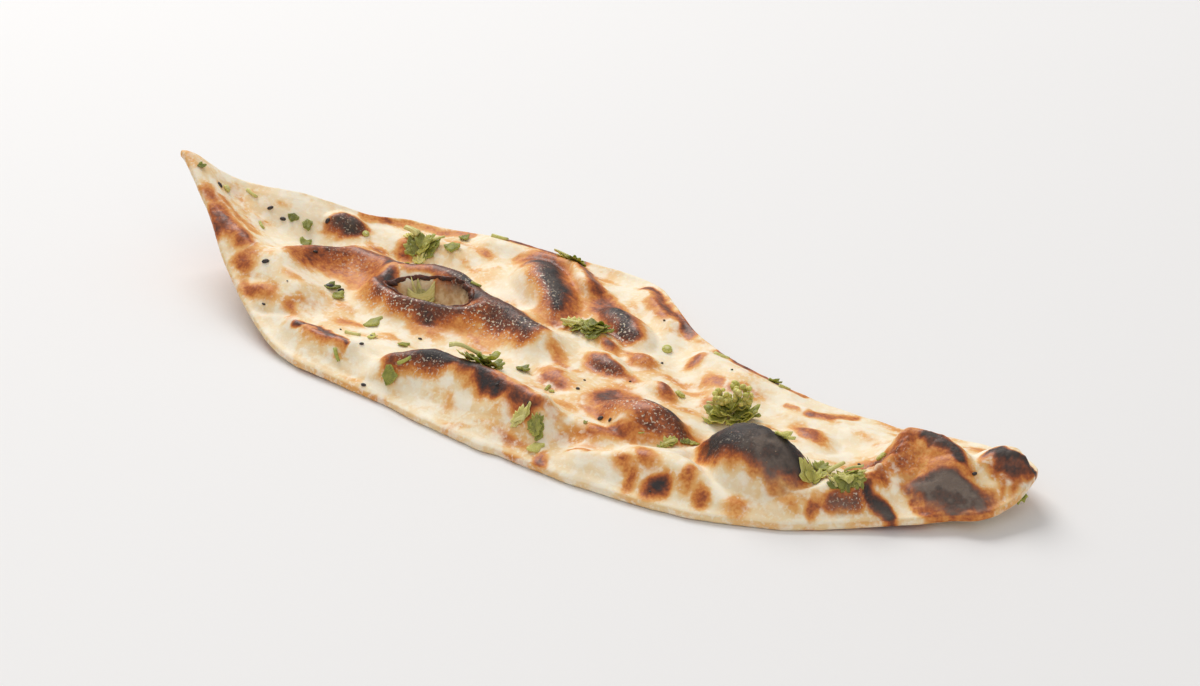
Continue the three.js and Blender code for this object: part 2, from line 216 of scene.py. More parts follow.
def smooth_curve(points, shares):
    """The places at these shares of the length of a smooth curve through the points"""
    p = np.array(points, float)
    guides = np.vstack([2 * p[0] - p[1], p, 2 * p[-1] - p[-2]])
    t = np.linspace(0, 1, SPAN_STEPS, endpoint=False)[:, None]
    spans = []
    for before, start, end, after in zip(guides, guides[1:], guides[2:], guides[3:]):
        leave, arrive = (end - before) / 2, (after - start) / 2
        square = 3 * (end - start) - 2 * leave - arrive
        cube = 2 * (start - end) + leave + arrive
        spans.append(start + t * leave + t**2 * square + t**3 * cube)
    curve = np.vstack([*spans, p[-1:]])
    length = np.append(0, np.cumsum(np.linalg.norm(np.diff(curve, axis=0), axis=1)))
    return np.column_stack([np.interp(shares * length[-1], length, curve[:, k]) for k in (0, 1)])


half_way = [smooth_curve(edge, np.array([0.5]))[0] for edge in (FRONT_EDGE, BACK_EDGE)]
print("half way along, the bread is", round(float(np.linalg.norm(half_way[1] - half_way[0]))), "mm wide")

# %% [markdown]
# The relief is a list of what a baker would point at: long ridges where the dough folded or puffed in a
# line, and round bubbles. Each has a place, a size and a height. They are the same that the solids are
# made from, so the fine crust sits exactly on them.

# %% Ridges, valleys and bubbles
# Their line, half width and height, which is negative for a valley
RIDGES = [
    ([(-97, -4), (-92, 6), (-86, 14), (-75, 12.5)], 6, 4.6),
    ([(-66, 9), (-54, 14), (-45, 14), (-33, 9), (-20, 4), (-7, -3)], 6.2, 6.5),
    ([(-66, -1), (-53, -6), (-40, -3), (-30, 1)], 4, 4.4),
    ([(-56, 47), (-45, 48), (-35, 47), (-25, 44), (-12, 35)], 4.6, 4.6),
    ([(-34, -36), (-25, -32), (-14, -31), (0, -34), (15, -39)], 5.6, 6.4),
    ([(19, -38), (31, -37), (46, -36)], 4, 2.4),
    ([(-76, -29), (-66, -31), (-53, -34)], 3.6, 2.4),
    ([(38, -47), (58, -44), (79, -42), (98, -36), (109, -29)], 6.5, 3.4),
    ([(2, 45), (8, 38), (20, 30)], 4, 2.6),
    ([(40, 19), (53, 15), (70, 12)], 3.6, 2.4),
    ([(112, -15), (113, -4), (121, -3), (130, -8)], 5, 5.2),
    ([(27, -43), (43, -38), (52, -31), (58, -24)], 4, -3),
    ([(63, -35), (75, -40), (86, -40), (97, -30)], 3.2, -2.6),
    ([(-76, 26), (-56, 27), (-40, 22), (-26, 14)], 4.4, -2.4),
    ([(-62, -15), (-36, -18), (-8, -14), (8, -20)], 6, -2),
    ([(28, 18), (38, 4), (50, -8), (60, -18)], 6, -2.2),
    ([(62, 0), (80, -3), (98, -8), (104, -18)], 7, -2),
]
FOLDS = [
    ([(-143, 5), (-130, -2), (-119, -7), (-104, -11), (-84, -16)], 7, 4.5),
    ([(-128, 9), (-112, 11), (-98, 14)], 7, -4),
]
# x, y, half length, half width, turn and height
BUBBLES = [
    (-25, 29, 22, 8, -34, 6), (10, 20, 14, 6.5, -37, 4.4), (14, 0, 11, 5, -15, 2.8),
    (7, 10, 7.5, 4, -25, 2.2), (23, 7, 6, 3.6, 0, 1.8), (37, -7, 8, 4, -28, 2.4),
    (8, -15, 10, 5, -20, 1.8), (44, -26, 16, 8.5, -8, 7.4), (79, -30, 18, 9.5, 0, 10.5),
    (85, -7, 9, 6, -20, 2.4), (-95, -24, 7, 5, -20, 1.4), (-66, 34, 15, 7, 10, 2),
    (-99, 26, 7, 5.5, 30, 2.6), (119, -7, 13, 9, -14, 5), (130, -16, 12, 7, -4, 3.8),
    (137, 1, 10, 8, 10, 5.2), (113, -26, 9, 5, -20, 2.8), (110, -20, 4, 3.4, 15, 2),
]
DOME_POWER = 1.15


def distance_to_line(x, y, line):
    nearest = np.full(np.shape(x), np.inf)
    for (ax, ay), (bx, by) in zip(line, line[1:]):
        along = ((x - ax) * (bx - ax) + (y - ay) * (by - ay)) / ((bx - ax) ** 2 + (by - ay) ** 2)
        t = np.clip(along, 0, 1)
        nearest = np.minimum(nearest, np.hypot(x - mix(ax, bx, t), y - mix(ay, by, t)))
    return nearest


def on_line(x, y, line, wide, high):
    return high * np.exp(-((distance_to_line(x, y, line) / wide) ** 2))


def turned(x, y, degrees):
    a = math.radians(degrees)
    return x * math.cos(a) - y * math.sin(a), x * math.sin(a) + y * math.cos(a)


def reach(x, y, cx, cy, long, wide, turn):
    """Square of the distance from an ellipse's centre, 1 on its outline"""
    along, across = turned(x - cx, y - cy, -turn)
    return (along / long) ** 2 + (across / wide) ** 2


def dome(x, y, cx, cy, long, wide, turn, high):
    return high * np.maximum(0, 1 - reach(x, y, cx, cy, long, wide, turn)) ** DOME_POWER


print(len(RIDGES), "ridges and valleys,", len(BUBBLES), "bubbles")

# %% [markdown]
# The bread is a sheet of dough over an underside. The underside lies flat on the table except where the
# point curls up and the edges lift a little. The thickness grows from a thin edge to the puffed middle,
# and carries the relief. One bubble has burst, and its dent shows the crumb.

# %% Underside and thickness
POINT_LIFT = 30
CURL_LENGTH = 78
CURL_POWER = 1.5
EDGE_THICKNESS = 2.2
THINNEST = 2.8
SHEET_THICKNESS = 4
PUFFED_THICKNESS = 8
ROLL_WIDTH = 15
SHOULDER_WIDTH = 9
ROUNDING_WIDTH = 3.2
ROUNDING_SHARE = 0.35
THIN_POINT = (-118, 40)  # stretches: where they start and how long they are
BACK_LIFT = (8, 26)  # lifts: how high and how far in from the edge
FRONT_LIFT = (2.4, 16)
RIM_LIFT = (5, 42)
BACK_LIFT_START = (-150, 45)
BACK_LIFT_END = (10, 70)
BACK_LIFT_LEFT = 0.5
FRONT_WAVE_SIZE = 34
FRONT_WAVE_SEED = 2
FRONT_WAVE_LEAST = 0.4
UNDER_WAVES = {"size": 31, "seed": 12, "high": 0.9, "below": 1.1}
FOLD_END = (-70, 30)
BURST = {"place": (-49, 4.5, 13, 5.8, 12), "deep": 6.5, "slope": (0.35, 0.75)}
WAVES = [(27, 1.1, 3), (11, 0.55, 8)]  # size, height and seed
WANDER = {"size": 13, "far": 1.7, "seed": 5}


def rising(x, stretch):
    return smooth((x - stretch[0]) / stretch[1])


def near_edge(distance, lift):
    return lift[0] * np.clip(1 - distance / lift[1], 0, 1) ** 2


def underside_height(x, y, from_front, from_back):
    curl = POINT_LIFT * np.clip((POINT_X + CURL_LENGTH - x) / CURL_LENGTH, 0, 1) ** CURL_POWER
    back_share = rising(x, BACK_LIFT_START) * mix(1, BACK_LIFT_LEFT, rising(x, BACK_LIFT_END))
    front_share = mix(FRONT_WAVE_LEAST, 1, noise(x / FRONT_WAVE_SIZE, 0.5, FRONT_WAVE_SEED) ** 2)
    lifted = near_edge(from_back, BACK_LIFT) * back_share + near_edge(from_front, FRONT_LIFT) * front_share
    folds = sum(on_line(x, y, *fold) for fold in FOLDS) * (1 - rising(x, FOLD_END))
    wave = noise(x / UNDER_WAVES["size"], y / UNDER_WAVES["size"], UNDER_WAVES["seed"])
    rim = near_edge(RIM_X - x, RIM_LIFT)
    whole = curl + rim + lifted + folds + UNDER_WAVES["high"] * wave - UNDER_WAVES["below"]
    return np.maximum(0, whole)


def torn(x, y):
    """How far a place is inside the burst bubble, from 0 to 1"""
    return 1 - rising(reach(x, y, *BURST["place"]), BURST["slope"])


def wandered(x, y):
    size, far, seed = WANDER["size"], WANDER["far"], WANDER["seed"]
    return x + far * noise(x / size, y / size, seed), y + far * noise(x / size, y / size, seed + 1)


def thickness(x, y, from_front, from_back):
    wx, wy = wandered(x, y)
    from_edge = np.minimum(from_front, from_back)
    roll = smooth(from_edge / ROLL_WIDTH) * rising(x, THIN_POINT)
    raised = sum(on_line(wx, wy, *r) for r in RIDGES) + sum(dome(wx, wy, *b) for b in BUBBLES)
    relief = raised - BURST["deep"] * torn(wx, wy)
    uneven = sum(high * noise(x / size, y / size, seed) for size, high, seed in WAVES)
    whole = np.maximum(THINNEST, mix(SHEET_THICKNESS, PUFFED_THICKNESS, roll) + relief + uneven)
    shoulder = mix(ROUNDING_SHARE, 1, smooth(from_edge / SHOULDER_WIDTH))
    return mix(EDGE_THICKNESS, whole, np.sqrt(np.clip(from_edge / ROUNDING_WIDTH, 0, 1)) * shoulder)


LARGE_BUBBLE = (79, -30)
LARGE_BUBBLE_EDGES = (18, 44)  # its distances from the front and the back edge
puffed = thickness(*LARGE_BUBBLE, *LARGE_BUBBLE_EDGES)
print("thickness on the large bubble", round(float(puffed), 1), "mm")

# %% [markdown]
# Heat writes on bread in spots and streaks. Where a bubble nearly touched the oven wall it is brown or
# black, and round it the colour fades through gold to cream. One number can say all this: the heat that a
# place took, from 0 for pale dough to 1 for charcoal. Each mark below has a place, a size and its heat,
# and a wandering noise frays its outline. The colours come later, from the heat.

# %% Toasted spots and scorched streaks
# Round marks: x, y, half length, half width, turn, heat
SPOTS = [
    (25.9, -49, 2.8, 2.2, 0, 0.66), (48.9, -47.8, 2.2, 1.8, 0, 0.44), (53, -49.3, 1.8, 2.5, 0, 0.54),
    (60.7, -49, 3.2, 3.2, 0, 0.74), (54.6, -43.3, 3.6, 2, -12, 0.54), (67.8, -44.6, 2.8, 2.5, 0, 0.46),
    (73.6, -46.5, 2.4, 2.2, 0, 0.6), (82.7, -45.3, 3.2, 2.6, 0, 0.3), (90.9, -36.8, 2.2, 1.2, 0, 0.5),
    (100.6, -36.6, 1.5, 2.6, 20, 0.6), (94.9, -38.5, 1.9, 1.6, 0, 0.34), (36.6, 14, 3, 3.4, 0, 0.48),
    (46.3, 5.5, 3.8, 2.6, -20, 0.46), (54.9, 4.7, 2.4, 1.4, -10, 0.34), (53.9, -3.6, 4, 1.7, -10, 0.48),
    (43.5, -0.4, 3, 1.2, 5, 0.4), (85.2, -6, 7.2, 3.6, -24, 0.56), (-61.6, -19.4, 4.4, 2.8, 0, 0.34),
    (-45.8, -12, 3.4, 2.2, -10, 0.3), (-39.8, -10.7, 3.4, 1.8, -10, 0.3), (-48.8, -21, 3.4, 2.2, 10, 0.3),
    (-142.4, 4.4, 4.4, 1.4, -20, 0.16), (-82.9, -24.8, 1, 0.8, 0, 0.4), (-80.9, -24.6, 2.6, 1.5, -15, 0.42),
    (-105.4, -17.1, 4.8, 3.2, -12, 0.5), (-95.3, -23.1, 6.2, 2.2, 2, 0.54), (-78, 30.5, 3, 2, 0, 0.56),
    (-76.6, 27.2, 3, 2, 0, 0.6), (-54.1, 38.8, 4, 2, -20, 0.42), (141.5, -9.2, 0.9, 1.4, 0, 0.46),
    (144.9, -5.8, 0.8, 1.3, 0, 0.46), (0.7, -3.8, 5, 2.2, -34, 0.42), (8, -15.8, 7, 3, -20, 0.4),
    (19.9, -29.5, 3.8, 1.6, -8, 0.34), (29.8, -28.6, 4.6, 1.8, -20, 0.52), (38.4, -35.6, 8, 2.2, 12, 0.56),
    (12, 7.2, 4, 2, -25, 0.62), (18.4, -3.4, 7.6, 3.2, -14, 0.74), (22.6, 6.4, 5.6, 2.8, -20, 0.44),
    (39.6, -7.4, 4.6, 2.4, -34, 0.58), (-25.5, -6.4, 6, 2, -10, 0.32), (111.8, -23.2, 1.9, 2.3, 0, 0.54),
    (104.4, -33, 3, 2, 20, 0.54), (-120, -11.8, 3.4, 1.8, -40, 0.6), (-111, -9.2, 5.4, 3, -30, 0.44),
    (93, -36, 4, 1.2, 10, 0.3), (-64, 40, 6, 2, -10, 0.22), (-16, 13, 6, 3, -30, 0.28),
    (63, -21, 3, 2, 0, 0.24), (108, 12.5, 9, 1.6, 6, 0.3), (130, 9, 7, 3, -10, 0.26),
    (97, -25, 3.6, 1.3, -20, 0.3), (-97.3, 23.7, 5.6, 3.2, 35, 0.92), (79.5, -28.8, 16.5, 8.6, -2, 0.98),
    (129.2, -15.4, 10.6, 4.1, 14, 0.99), (-47, -20.2, 3, 1.6, 0, 0.24), (-70, -12, 4, 2, -10, 0.22),
    (-88, -14, 3, 2, 0, 0.22), (5, 34, 4, 1.6, -50, 0.26), (60, 6, 4, 1.4, 0, 0.22),
    (72, -8, 3, 1.6, -20, 0.24), (98, 2, 4, 1.4, -20, 0.22), (28, -14, 3, 1.6, -20, 0.26),
    (-10, -42, 5, 2, -8, 0.24), (-50, 22, 5, 2, -10, 0.26), (-84, 20, 4, 2.4, 20, 0.3),
    (12, -46, 3, 1.4, 0, 0.22), (36, -42, 3, 1.6, 0, 0.22), (-50, -9.6, 8, 2.4, 4, 0.3),
]
# Streaks: their line, half width and heat
STREAKS = [
    ([(-95, -3), (-92, 2), (-88, 8), (-81, 10), (-73, 6)], 4.4, 0.42),
    ([(-91, 6), (-86, 13), (-77, 13.5), (-69, 9.5)], 2.6, 0.58),
    ([(-86, 4), (-78, 3), (-70, 0), (-61, -4)], 4.2, 0.38),
    ([(-70, 9), (-60, 12.6), (-50, 14.8), (-42, 13)], 2.2, 0.82),
    ([(-66, 1), (-61, -3), (-53, -6.8), (-45, -5.8)], 3, 0.7),
    ([(-61, 9), (-54, 11.6), (-45, 12.4), (-38, 10)], 1.9, 0.52),
    ([(-65, 4), (-62, 0)], 2.4, 0.86),
    ([(-42, 12.4), (-34, 8.6), (-26, 6), (-19, 3.4), (-11, 1)], 4.8, 0.85),
    ([(-44, -5), (-36, -1.8), (-28, 0.6), (-19, -0.4), (-10, -4)], 4, 0.7),
    ([(-45, -9.4), (-32, -6.4), (-18, -6.6)], 2.6, 0.28),
    ([(-36, 42), (-29, 36), (-21, 28), (-12, 19.4)], 6.2, 0.6),
    ([(-33, 40), (-26, 33), (-18, 25.6), (-13, 20.6)], 4, 0.93),
    ([(-52, 50), (-42, 51.6), (-32, 51.4), (-25, 50)], 1.8, 0.6),
    ([(-26, 47), (-19, 44), (-13, 39), (-9, 33)], 2.4, 0.58),
    ([(-44, 43), (-34, 43.6)], 2, 0.36),
    ([(-4, 30), (4, 24), (13, 17)], 4.4, 0.6),
    ([(2, 26), (8, 21.4), (15, 15.8)], 2.2, 0.82),
    ([(-34, -35.4), (-26, -32), (-14, -31.6), (-3, -33.8)], 3.8, 0.76),
    ([(-22, -32.6), (-12, -32.6), (-3, -34.6), (4, -37)], 2, 0.86),
    ([(-2, -34.4), (8, -37.6), (16, -40)], 2.6, 0.58),
    ([(-75, -30.4), (-72, -28.8), (-68, -28.4), (-61, -31.4), (-54, -33.4)], 1.1, 0.74),
    ([(-69, -31), (-60, -33.4), (-55, -34.6)], 2, 0.36),
    ([(27, -17), (36, -20), (46, -21.6), (55, -25.6)], 4.4, 0.66),
    ([(35, -18.6), (42, -19.8), (52, -22.6)], 2.6, 0.84),
    ([(28, -22), (37, -26.4), (46, -29), (54, -28)], 4, 0.5),
    ([(106, -14), (111, -10.6), (114, -7)], 3.6, 0.5),
    ([(117.6, -6), (121.7, -5.2), (126, -6), (129.6, -7)], 1.9, 0.97),
    ([(112, -13.4), (118, -12), (124, -10.6), (131, -9)], 3.4, 0.38),
    ([(122.6, -21.4), (128, -21.6), (134.4, -19.9), (140, -15.6)], 1.7, 0.5),
    ([(134.8, -1.8), (137, -1), (140.4, -2.8)], 1.5, 0.97),
    ([(140.4, -2.8), (143.3, -2.2), (146, -0.8)], 1.1, 0.84),
    ([(139.2, -4.6), (142, -3.8), (145, -2.6)], 1.8, 0.52),
    ([(105, -31.6), (110, -29.8)], 2.3, 0.64),
    ([(112.4, -27), (115, -28), (118.4, -28.4)], 1.5, 0.96),
    ([(-132, -0.6), (-128, -2.8), (-121, -5)], 2.6, 0.26),
    ([(-124, -5.6), (-118, -7.4), (-110, -9.6)], 3.4, 0.42),
    ([(-128, 1.4), (-120, -0.4), (-113, -1.6)], 1.6, 0.28),
    ([(-96, 31), (-90, 38), (-80, 43), (-66, 48)], 1.7, 0.36),
    ([(2, 45), (9, 41), (18, 34), (28, 28.6)], 1.9, 0.6),
    ([(9, 39), (16, 32)], 2.8, 0.34),
    ([(41, 23), (46, 21.6), (52, 20)], 2.3, 0.7),
    ([(52, 18.6), (60, 17.2), (72, 15)], 1.5, 0.44),
    ([(71, 5.3), (76, 5.4)], 0.9, 0.42),
    ([(80, 5.4), (85, 7.6), (90, 9)], 1.9, 0.5),
    ([(93, 14), (99, 14.6)], 1.4, 0.54),
    ([(32, -44.9), (39, -45.8)], 0.7, 0.36),
]
FRAY = [(7, 1.5, 21), (2.7, 0.8, 23)]  # size and reach of the wandering, and its seed
SPOT_FADE = (-2.2, 4.2)  # how far from a spot's outline its heat starts to fade, and over what stretch
STREAK_FADE = (0.2, 1.6)  # the same for a streak, as shares of its half width
BUILD_UP = 4  # how little heat adds up where marks overlap
BLISTER_SHARE = 0.16  # a toasted spot is a small bubble, this much of its half width high
BLISTER_MOST = 0.6
BLISTER_REACH = 1.15  # as a share of the spot


def frayed(x, y):
    for size, far, seed in FRAY:
        x, y = x + far * noise(x / size, y / size, seed), y + far * noise(x / size, y / size, seed + 1)
    return x, y


def fading(far, fade):
    return 1 - smooth((far - fade[0]) / fade[1])


def spot_cover(x, y, cx, cy, long, wide, turn):
    """How much of a round mark's heat a place takes, from 0 to 1"""
    outside = (np.sqrt(reach(x, y, cx, cy, long, wide, turn)) - 1) * min(long, wide)
    return fading(outside, SPOT_FADE)


def heat_taken(x, y):
    """Heat of the top face, from the marks"""
    fx, fy = frayed(x, y)
    gathered = np.zeros(np.shape(x))
    for *place, heat in SPOTS:
        gathered = gathered + (heat * spot_cover(fx, fy, *place)) ** BUILD_UP
    for line, wide, heat in STREAKS:
        share = distance_to_line(fx, fy, line) / wide
        gathered = gathered + (heat * fading(share, STREAK_FADE)) ** BUILD_UP
    return np.minimum(1, gathered ** (1 / BUILD_UP))


def spot_blisters(x, y):
    total = np.zeros(np.shape(x))
    for cx, cy, long, wide, turn, _ in SPOTS:
        high = min(BLISTER_MOST, BLISTER_SHARE * wide)
        total = total + dome(x, y, cx, cy, BLISTER_REACH * long, BLISTER_REACH * wide, turn, high)
    return total


print(len(SPOTS), "spots and", len(STREAKS), "streaks")

# %% [markdown]
# Three more things change the colour of the crust. Charcoal that stood highest burns to pale ash, flour
# from the worktop still clings to some ridges, and inside the burst bubble the moist crumb shows.

# %% Ash, flour and crumb
# Round places: x, y, half length, half width, turn, strength
ASH = [
    (129.3, -15.9, 10, 3.6, 13, 1.15), (139.8, -2.8, 4, 1.6, 0, 0.3), (86, -33, 8.4, 4.2, -4, 0.8),
    (73, -27, 5, 2.4, 10, 0.35), (108, -31.6, 2.4, 1.5, 0, 0.7), (117, -29, 2, 1.2, 0, 0.5),
    (-98, 24, 4, 2, 35, 0.5), (121, -5.4, 7, 1.5, -6, 0.4), (-18, 25, 4, 2, -40, 0.35),
]
# Places where the crust is crumpled and cracked
CRUMPLED = [
    (113, -12, 9, 7, 0, 1), (111, -21, 4, 5, 0, 0.9), (109, -31, 6, 3, 0, 0.7),
    (-97.5, 23.7, 5, 3, 35, 0.8), (76, -28, 15, 8, 0, 0.4), (130, -16, 11, 5, 10, 0.35),
    (141, -4, 7, 5, 0, 0.5), (-49, 4.5, 15, 8, 12, 0.4), (-30, 5, 16, 5, -14, 0.3),
    (-66, -31, 11, 3, -14, 0.4), (124, -6, 9, 3, -10, 0.6),
]
# Thin creases: their line, half width and height
CREASES = [
    ([(-93, -28.6), (-86, -26.5), (-76, -25.7), (-66, -27.4)], 0.9, -0.5),
    ([(-87, -32.4), (-79, -35), (-71, -38)], 0.8, -0.3),
    ([(-64, -36), (-50, -39), (-34, -41)], 0.9, -0.35),
    ([(-60, -28.4), (-50, -30.6), (-40, -33)], 0.8, -0.35),
    ([(-21, -41), (-10, -42.6), (6, -43.8)], 0.8, -0.3),
    ([(16, -42.6), (24, -40.4), (33, -38.6)], 0.9, -0.4),
    ([(-46, -9.8), (-34, -6.8), (-22, -6)], 1, -0.45),
    ([(-137, -0.4), (-129, -3.4), (-120, -4.4)], 1, -0.5),
    ([(-130, 6), (-116, 9), (-100, 8)], 1.3, 0.45),
    ([(-124, 1), (-112, 3), (-100, 0)], 1.2, -0.4),
    ([(104, -17), (110, -16.6), (118, -17.4)], 0.9, -0.6),
    ([(101, -8), (106, -12), (112, -14)], 0.8, 0.4),
    ([(58, 8), (72, 4), (90, 2)], 1.2, -0.4),
    ([(62, -14), (76, -16), (92, -18)], 1.1, -0.4),
    ([(94, -44), (108, -37), (124, -27)], 0.9, -0.4),
]
FLOUR = [
    (-55, -6.5, 14, 4, 0, 1), (-30, -1, 16, 4.4, -6, 1), (-12, -4, 8, 4.4, -10, 0.9),
    (-26, 26, 13, 4, -40, 1), (-17, 19, 6, 4, -30, 0.7), (11, 16, 8, 3.4, -38, 0.9),
    (42, -27, 12, 4.6, -8, 0.9), (-24, -35.6, 9, 3, 0, 0.7), (76, -34, 8, 3, 0, 0.2),
    (109, -31, 4, 3, 0, 0.9), (-84, 8, 9, 4, 0, 0.5), (18, -5, 8, 3, -16, 0.5), (-42, 13, 8, 3, 0, 0.6),
    (24, 6, 5, 2.4, 0, 0.4), (113, -13, 8, 3, 0, 0.35), (-98, 24, 5, 4, 30, 0.5),
]


def dusted(x, y, places):
    """Strength of the strongest of these places, fading at its outline"""
    fx, fy = frayed(x, y)
    found = np.zeros(np.shape(x))
    for *place, strength in places:
        found = np.maximum(found, strength * spot_cover(fx, fy, *place))
    return found


print(len(ASH), "ashy places,", len(FLOUR), "floury ones and", len(CREASES), "creases")

# %% [markdown]
# Now the crust itself. It is one closed skin, woven like a sleeve: ribs run across the bread from edge to
# edge over the top, round the thin edge, and back under it. Writing the skin as one looped grid keeps it
# closed without any joining afterwards, and each point can carry its heat, ash, flour and crumb with it.

# %% Skin
RIBS = 440
TOP_ROWS = 120
UNDER_ROWS = 60
EDGE_ROWS = 3
EDGE_BULGE = 0.7
CROWDING = 0.5
UNDER_HEAT = [(23, 0.32, 41), (9, 0.3, 43)]  # size, strength and seed of the toasting of the underside
EDGE_HEAT = 0.1
EDGE_SHARE = 0.8  # how much of the top's heat its edge has
EDGE_WAVES = [(17, 0.8, 31), (6, 0.45, 33)]  # size, reach and seed
EDGE_CALM = 14  # the stretch at both ends over which these waves start
CRUMB_GAIN = 3  # how fast the crumb begins inside the burst bubble, and where
CRUMB_START = 0.35


def crowded(t):
    """Steps from 0 to 1 that lie closer near both ends"""
    return mix(t, (1 - np.cos(np.pi * t)) / 2, CROWDING)


def edge_waves(x, side):
    """How far the edge is drawn in, in mm, with no waves at the two ends"""
    calm = smooth((x - POINT_X) / EDGE_CALM) * smooth((RIM_X - x) / EDGE_CALM)
    return calm * sum(far * noise(x / size, side + 0.5, seed) for size, far, seed in EDGE_WAVES)


def skin_rows(front, back):
    """Plan place and level of every row of the skin, and for each row which side it is on"""
    rows, kinds = [], []
    outwards = front - back
    outwards = outwards / np.linalg.norm(outwards, axis=1)[:, None]
    round_edge = np.pi * (np.arange(1, EDGE_ROWS + 1) / (EDGE_ROWS + 1))
    for share in crowded(np.linspace(0, 1, TOP_ROWS + 1)):
        rows.append((mix(front, back, share), 1.0))
        kinds.append("top")
    for angle in round_edge:
        rows.append((back - outwards * EDGE_BULGE * np.sin(angle), (1 + np.cos(angle)) / 2))
        kinds.append("back")
    for share in crowded(np.linspace(1, 0, UNDER_ROWS + 1)):
        rows.append((mix(front, back, share), 0.0))
        kinds.append("under")
    for angle in round_edge:
        rows.append((front + outwards * EDGE_BULGE * np.sin(angle), (1 - np.cos(angle)) / 2))
        kinds.append("front")
    return rows, kinds


shares = crowded(np.linspace(0, 1, RIBS + 1))
front_line = smooth_curve(FRONT_EDGE, shares)
back_line = smooth_curve(BACK_EDGE, shares)
across = back_line - front_line
across = across / np.maximum(np.linalg.norm(across, axis=1), 1)[:, None]
front_line = front_line + across * edge_waves(front_line[:, 0], 0)[:, None]
back_line = back_line - across * edge_waves(back_line[:, 0], 1)[:, None]
front, back = front_line[1:-1], back_line[1:-1]
rows, kinds = skin_rows(front, back)
print(len(rows), "rows round each of", RIBS - 1, "ribs")

# %% Heights and heat of the skin
heights, marks = [], {"toasting": [], "ash": [], "flour": [], "crumb": [], "crumple": []}
rib_length = np.linalg.norm(front - back, axis=1)
for (place, level), kind in zip(rows, kinds):
    x, y = place[:, 0], place[:, 1]
    from_front, from_back = np.linalg.norm(place - front, axis=1), np.linalg.norm(place - back, axis=1)
    if kind == "front":
        from_front, from_back = 0 * x, rib_length
    elif kind == "back":
        from_front, from_back = rib_length, 0 * x
    low = underside_height(x, y, from_front, from_back)
    high = low + thickness(x, y, from_front, from_back)
    if kind == "top":
        fine = spot_blisters(x, y) + sum(on_line(x, y, *crease) for crease in CREASES)
        high = high + fine * smooth(np.minimum(from_front, from_back) / ROUNDING_WIDTH)
        heat = heat_taken(x, y)
        crumb = smooth(CRUMB_GAIN * torn(*wandered(x, y)) - CRUMB_START)
        ash, flour, crumple = (dusted(x, y, places) for places in (ASH, FLOUR, CRUMPLED))
    else:
        toast = [strength * noise(x / size, y / size, seed) for size, strength, seed in UNDER_HEAT]
        heat = np.clip(EDGE_HEAT + sum(toast) * (kind == "under"), 0, 1)
        heat = np.maximum(heat, EDGE_SHARE * heat_taken(x, y) * (kind != "under"))
        crumb = ash = flour = crumple = np.zeros(len(x))
    heights.append(mix(low, high, level))
    for name, values in zip(marks, (heat, ash, flour, crumb, crumple)):
        marks[name].append(values)
plan = [np.array([place[:, k] for place, level in rows]).T for k in (0, 1)]
skin = np.dstack([*plan, np.array(heights).T])
print("highest place of the skin", round(float(skin[..., 2].max()), 1), "mm")

# %% Mesh of the skin
around = len(rows)
tips = []
for edge_point in (front_line[0], front_line[-1]):
    low = underside_height(edge_point[0], edge_point[1], 0.0, 0.0)
    tips.append([edge_point[0], edge_point[1], float(low) + EDGE_THICKNESS / 2])
points = np.vstack([skin.reshape(-1, 3), tips]) * MM
ring = np.arange(around)
following = (ring + 1) % around
faces = []
for rib in range(RIBS - 2):
    a, b = rib * around, (rib + 1) * around
    faces.extend(np.column_stack([a + ring, b + ring, b + following, a + following]).tolist())
first_tip, last_tip = len(points) - 2, len(points) - 1
last = (RIBS - 2) * around
faces.extend([first_tip, j, k] for j, k in zip(ring.tolist(), following.tolist()))
faces.extend([last + j, last_tip, last + k] for j, k in zip(ring.tolist(), following.tolist()))


def plain_mesh(name, points, faces, values=()):
    """An object whose mesh has these points, in metres, with numbers stored on them by name"""
    mesh = bpy.data.meshes.new(name)
    mesh.from_pydata([tuple(p) for p in points], [], faces)
    for attribute, numbers in dict(values).items():
        layer = mesh.attributes.new(attribute, "FLOAT", "POINT")
        layer.data.foreach_set("value", np.asarray(numbers, np.float32).ravel())
    mesh.shade_smooth()
    made = bpy.data.objects.new(name, mesh)
    bpy.context.collection.objects.link(made)
    return made


on_points = {name: np.append(np.array(values).T.ravel(), [0, 0]) for name, values in marks.items()}
crust = plain_mesh("naan_crust", points, faces, on_points)
print("the crust has", len(points), "points and", len(faces), "faces")

# %% [markdown]
# Node trees for shapes and for materials are both built by hand in this script, so a few helpers keep
# them short: one adds a node with its settings and inputs, some do arithmetic, one opens a new Geometry
# Nodes tree whose inputs have names, some draw at random or set things on points, and one turns the
# finished result into a plain mesh.

# %% Helpers for node trees
def fill(tree, node, inputs):
    """Sets a node's inputs to values, or links them to sockets"""
    for key, value in dict(inputs).items():
        if isinstance(value, bpy.types.NodeSocket):
            tree.links.new(value, node.inputs[key])
        else:
            node.inputs[key].default_value = value


def add(tree, kind, inputs=(), **settings):
    """A new node with these settings and inputs"""
    made = tree.nodes.new(kind)
    for setting, value in settings.items():
        setattr(made, setting, value)
    fill(tree, made, inputs)
    return made


def calc(tree, operation, *values):
    """Arithmetic on sockets and numbers, in a shader tree or a geometry tree"""
    return add(tree, "ShaderNodeMath", dict(enumerate(values)), operation=operation).outputs[0]


def product(tree, first, *others):
    for other in others:
        first = calc(tree, "MULTIPLY", first, other)
    return first


def vector(tree, x, y, z):
    return add(tree, "ShaderNodeCombineXYZ", {0: x, 1: y, 2: z}).outputs[0]


def between(tree, value, low, high, to_low=0.0, to_high=1.0):
    """value taken from one range to another, with a soft start and end"""
    inputs = {"Value": value, "From Min": low, "From Max": high, "To Min": to_low, "To Max": to_high}
    return add(tree, "ShaderNodeMapRange", inputs, interpolation_type="SMOOTHSTEP").outputs["Result"]

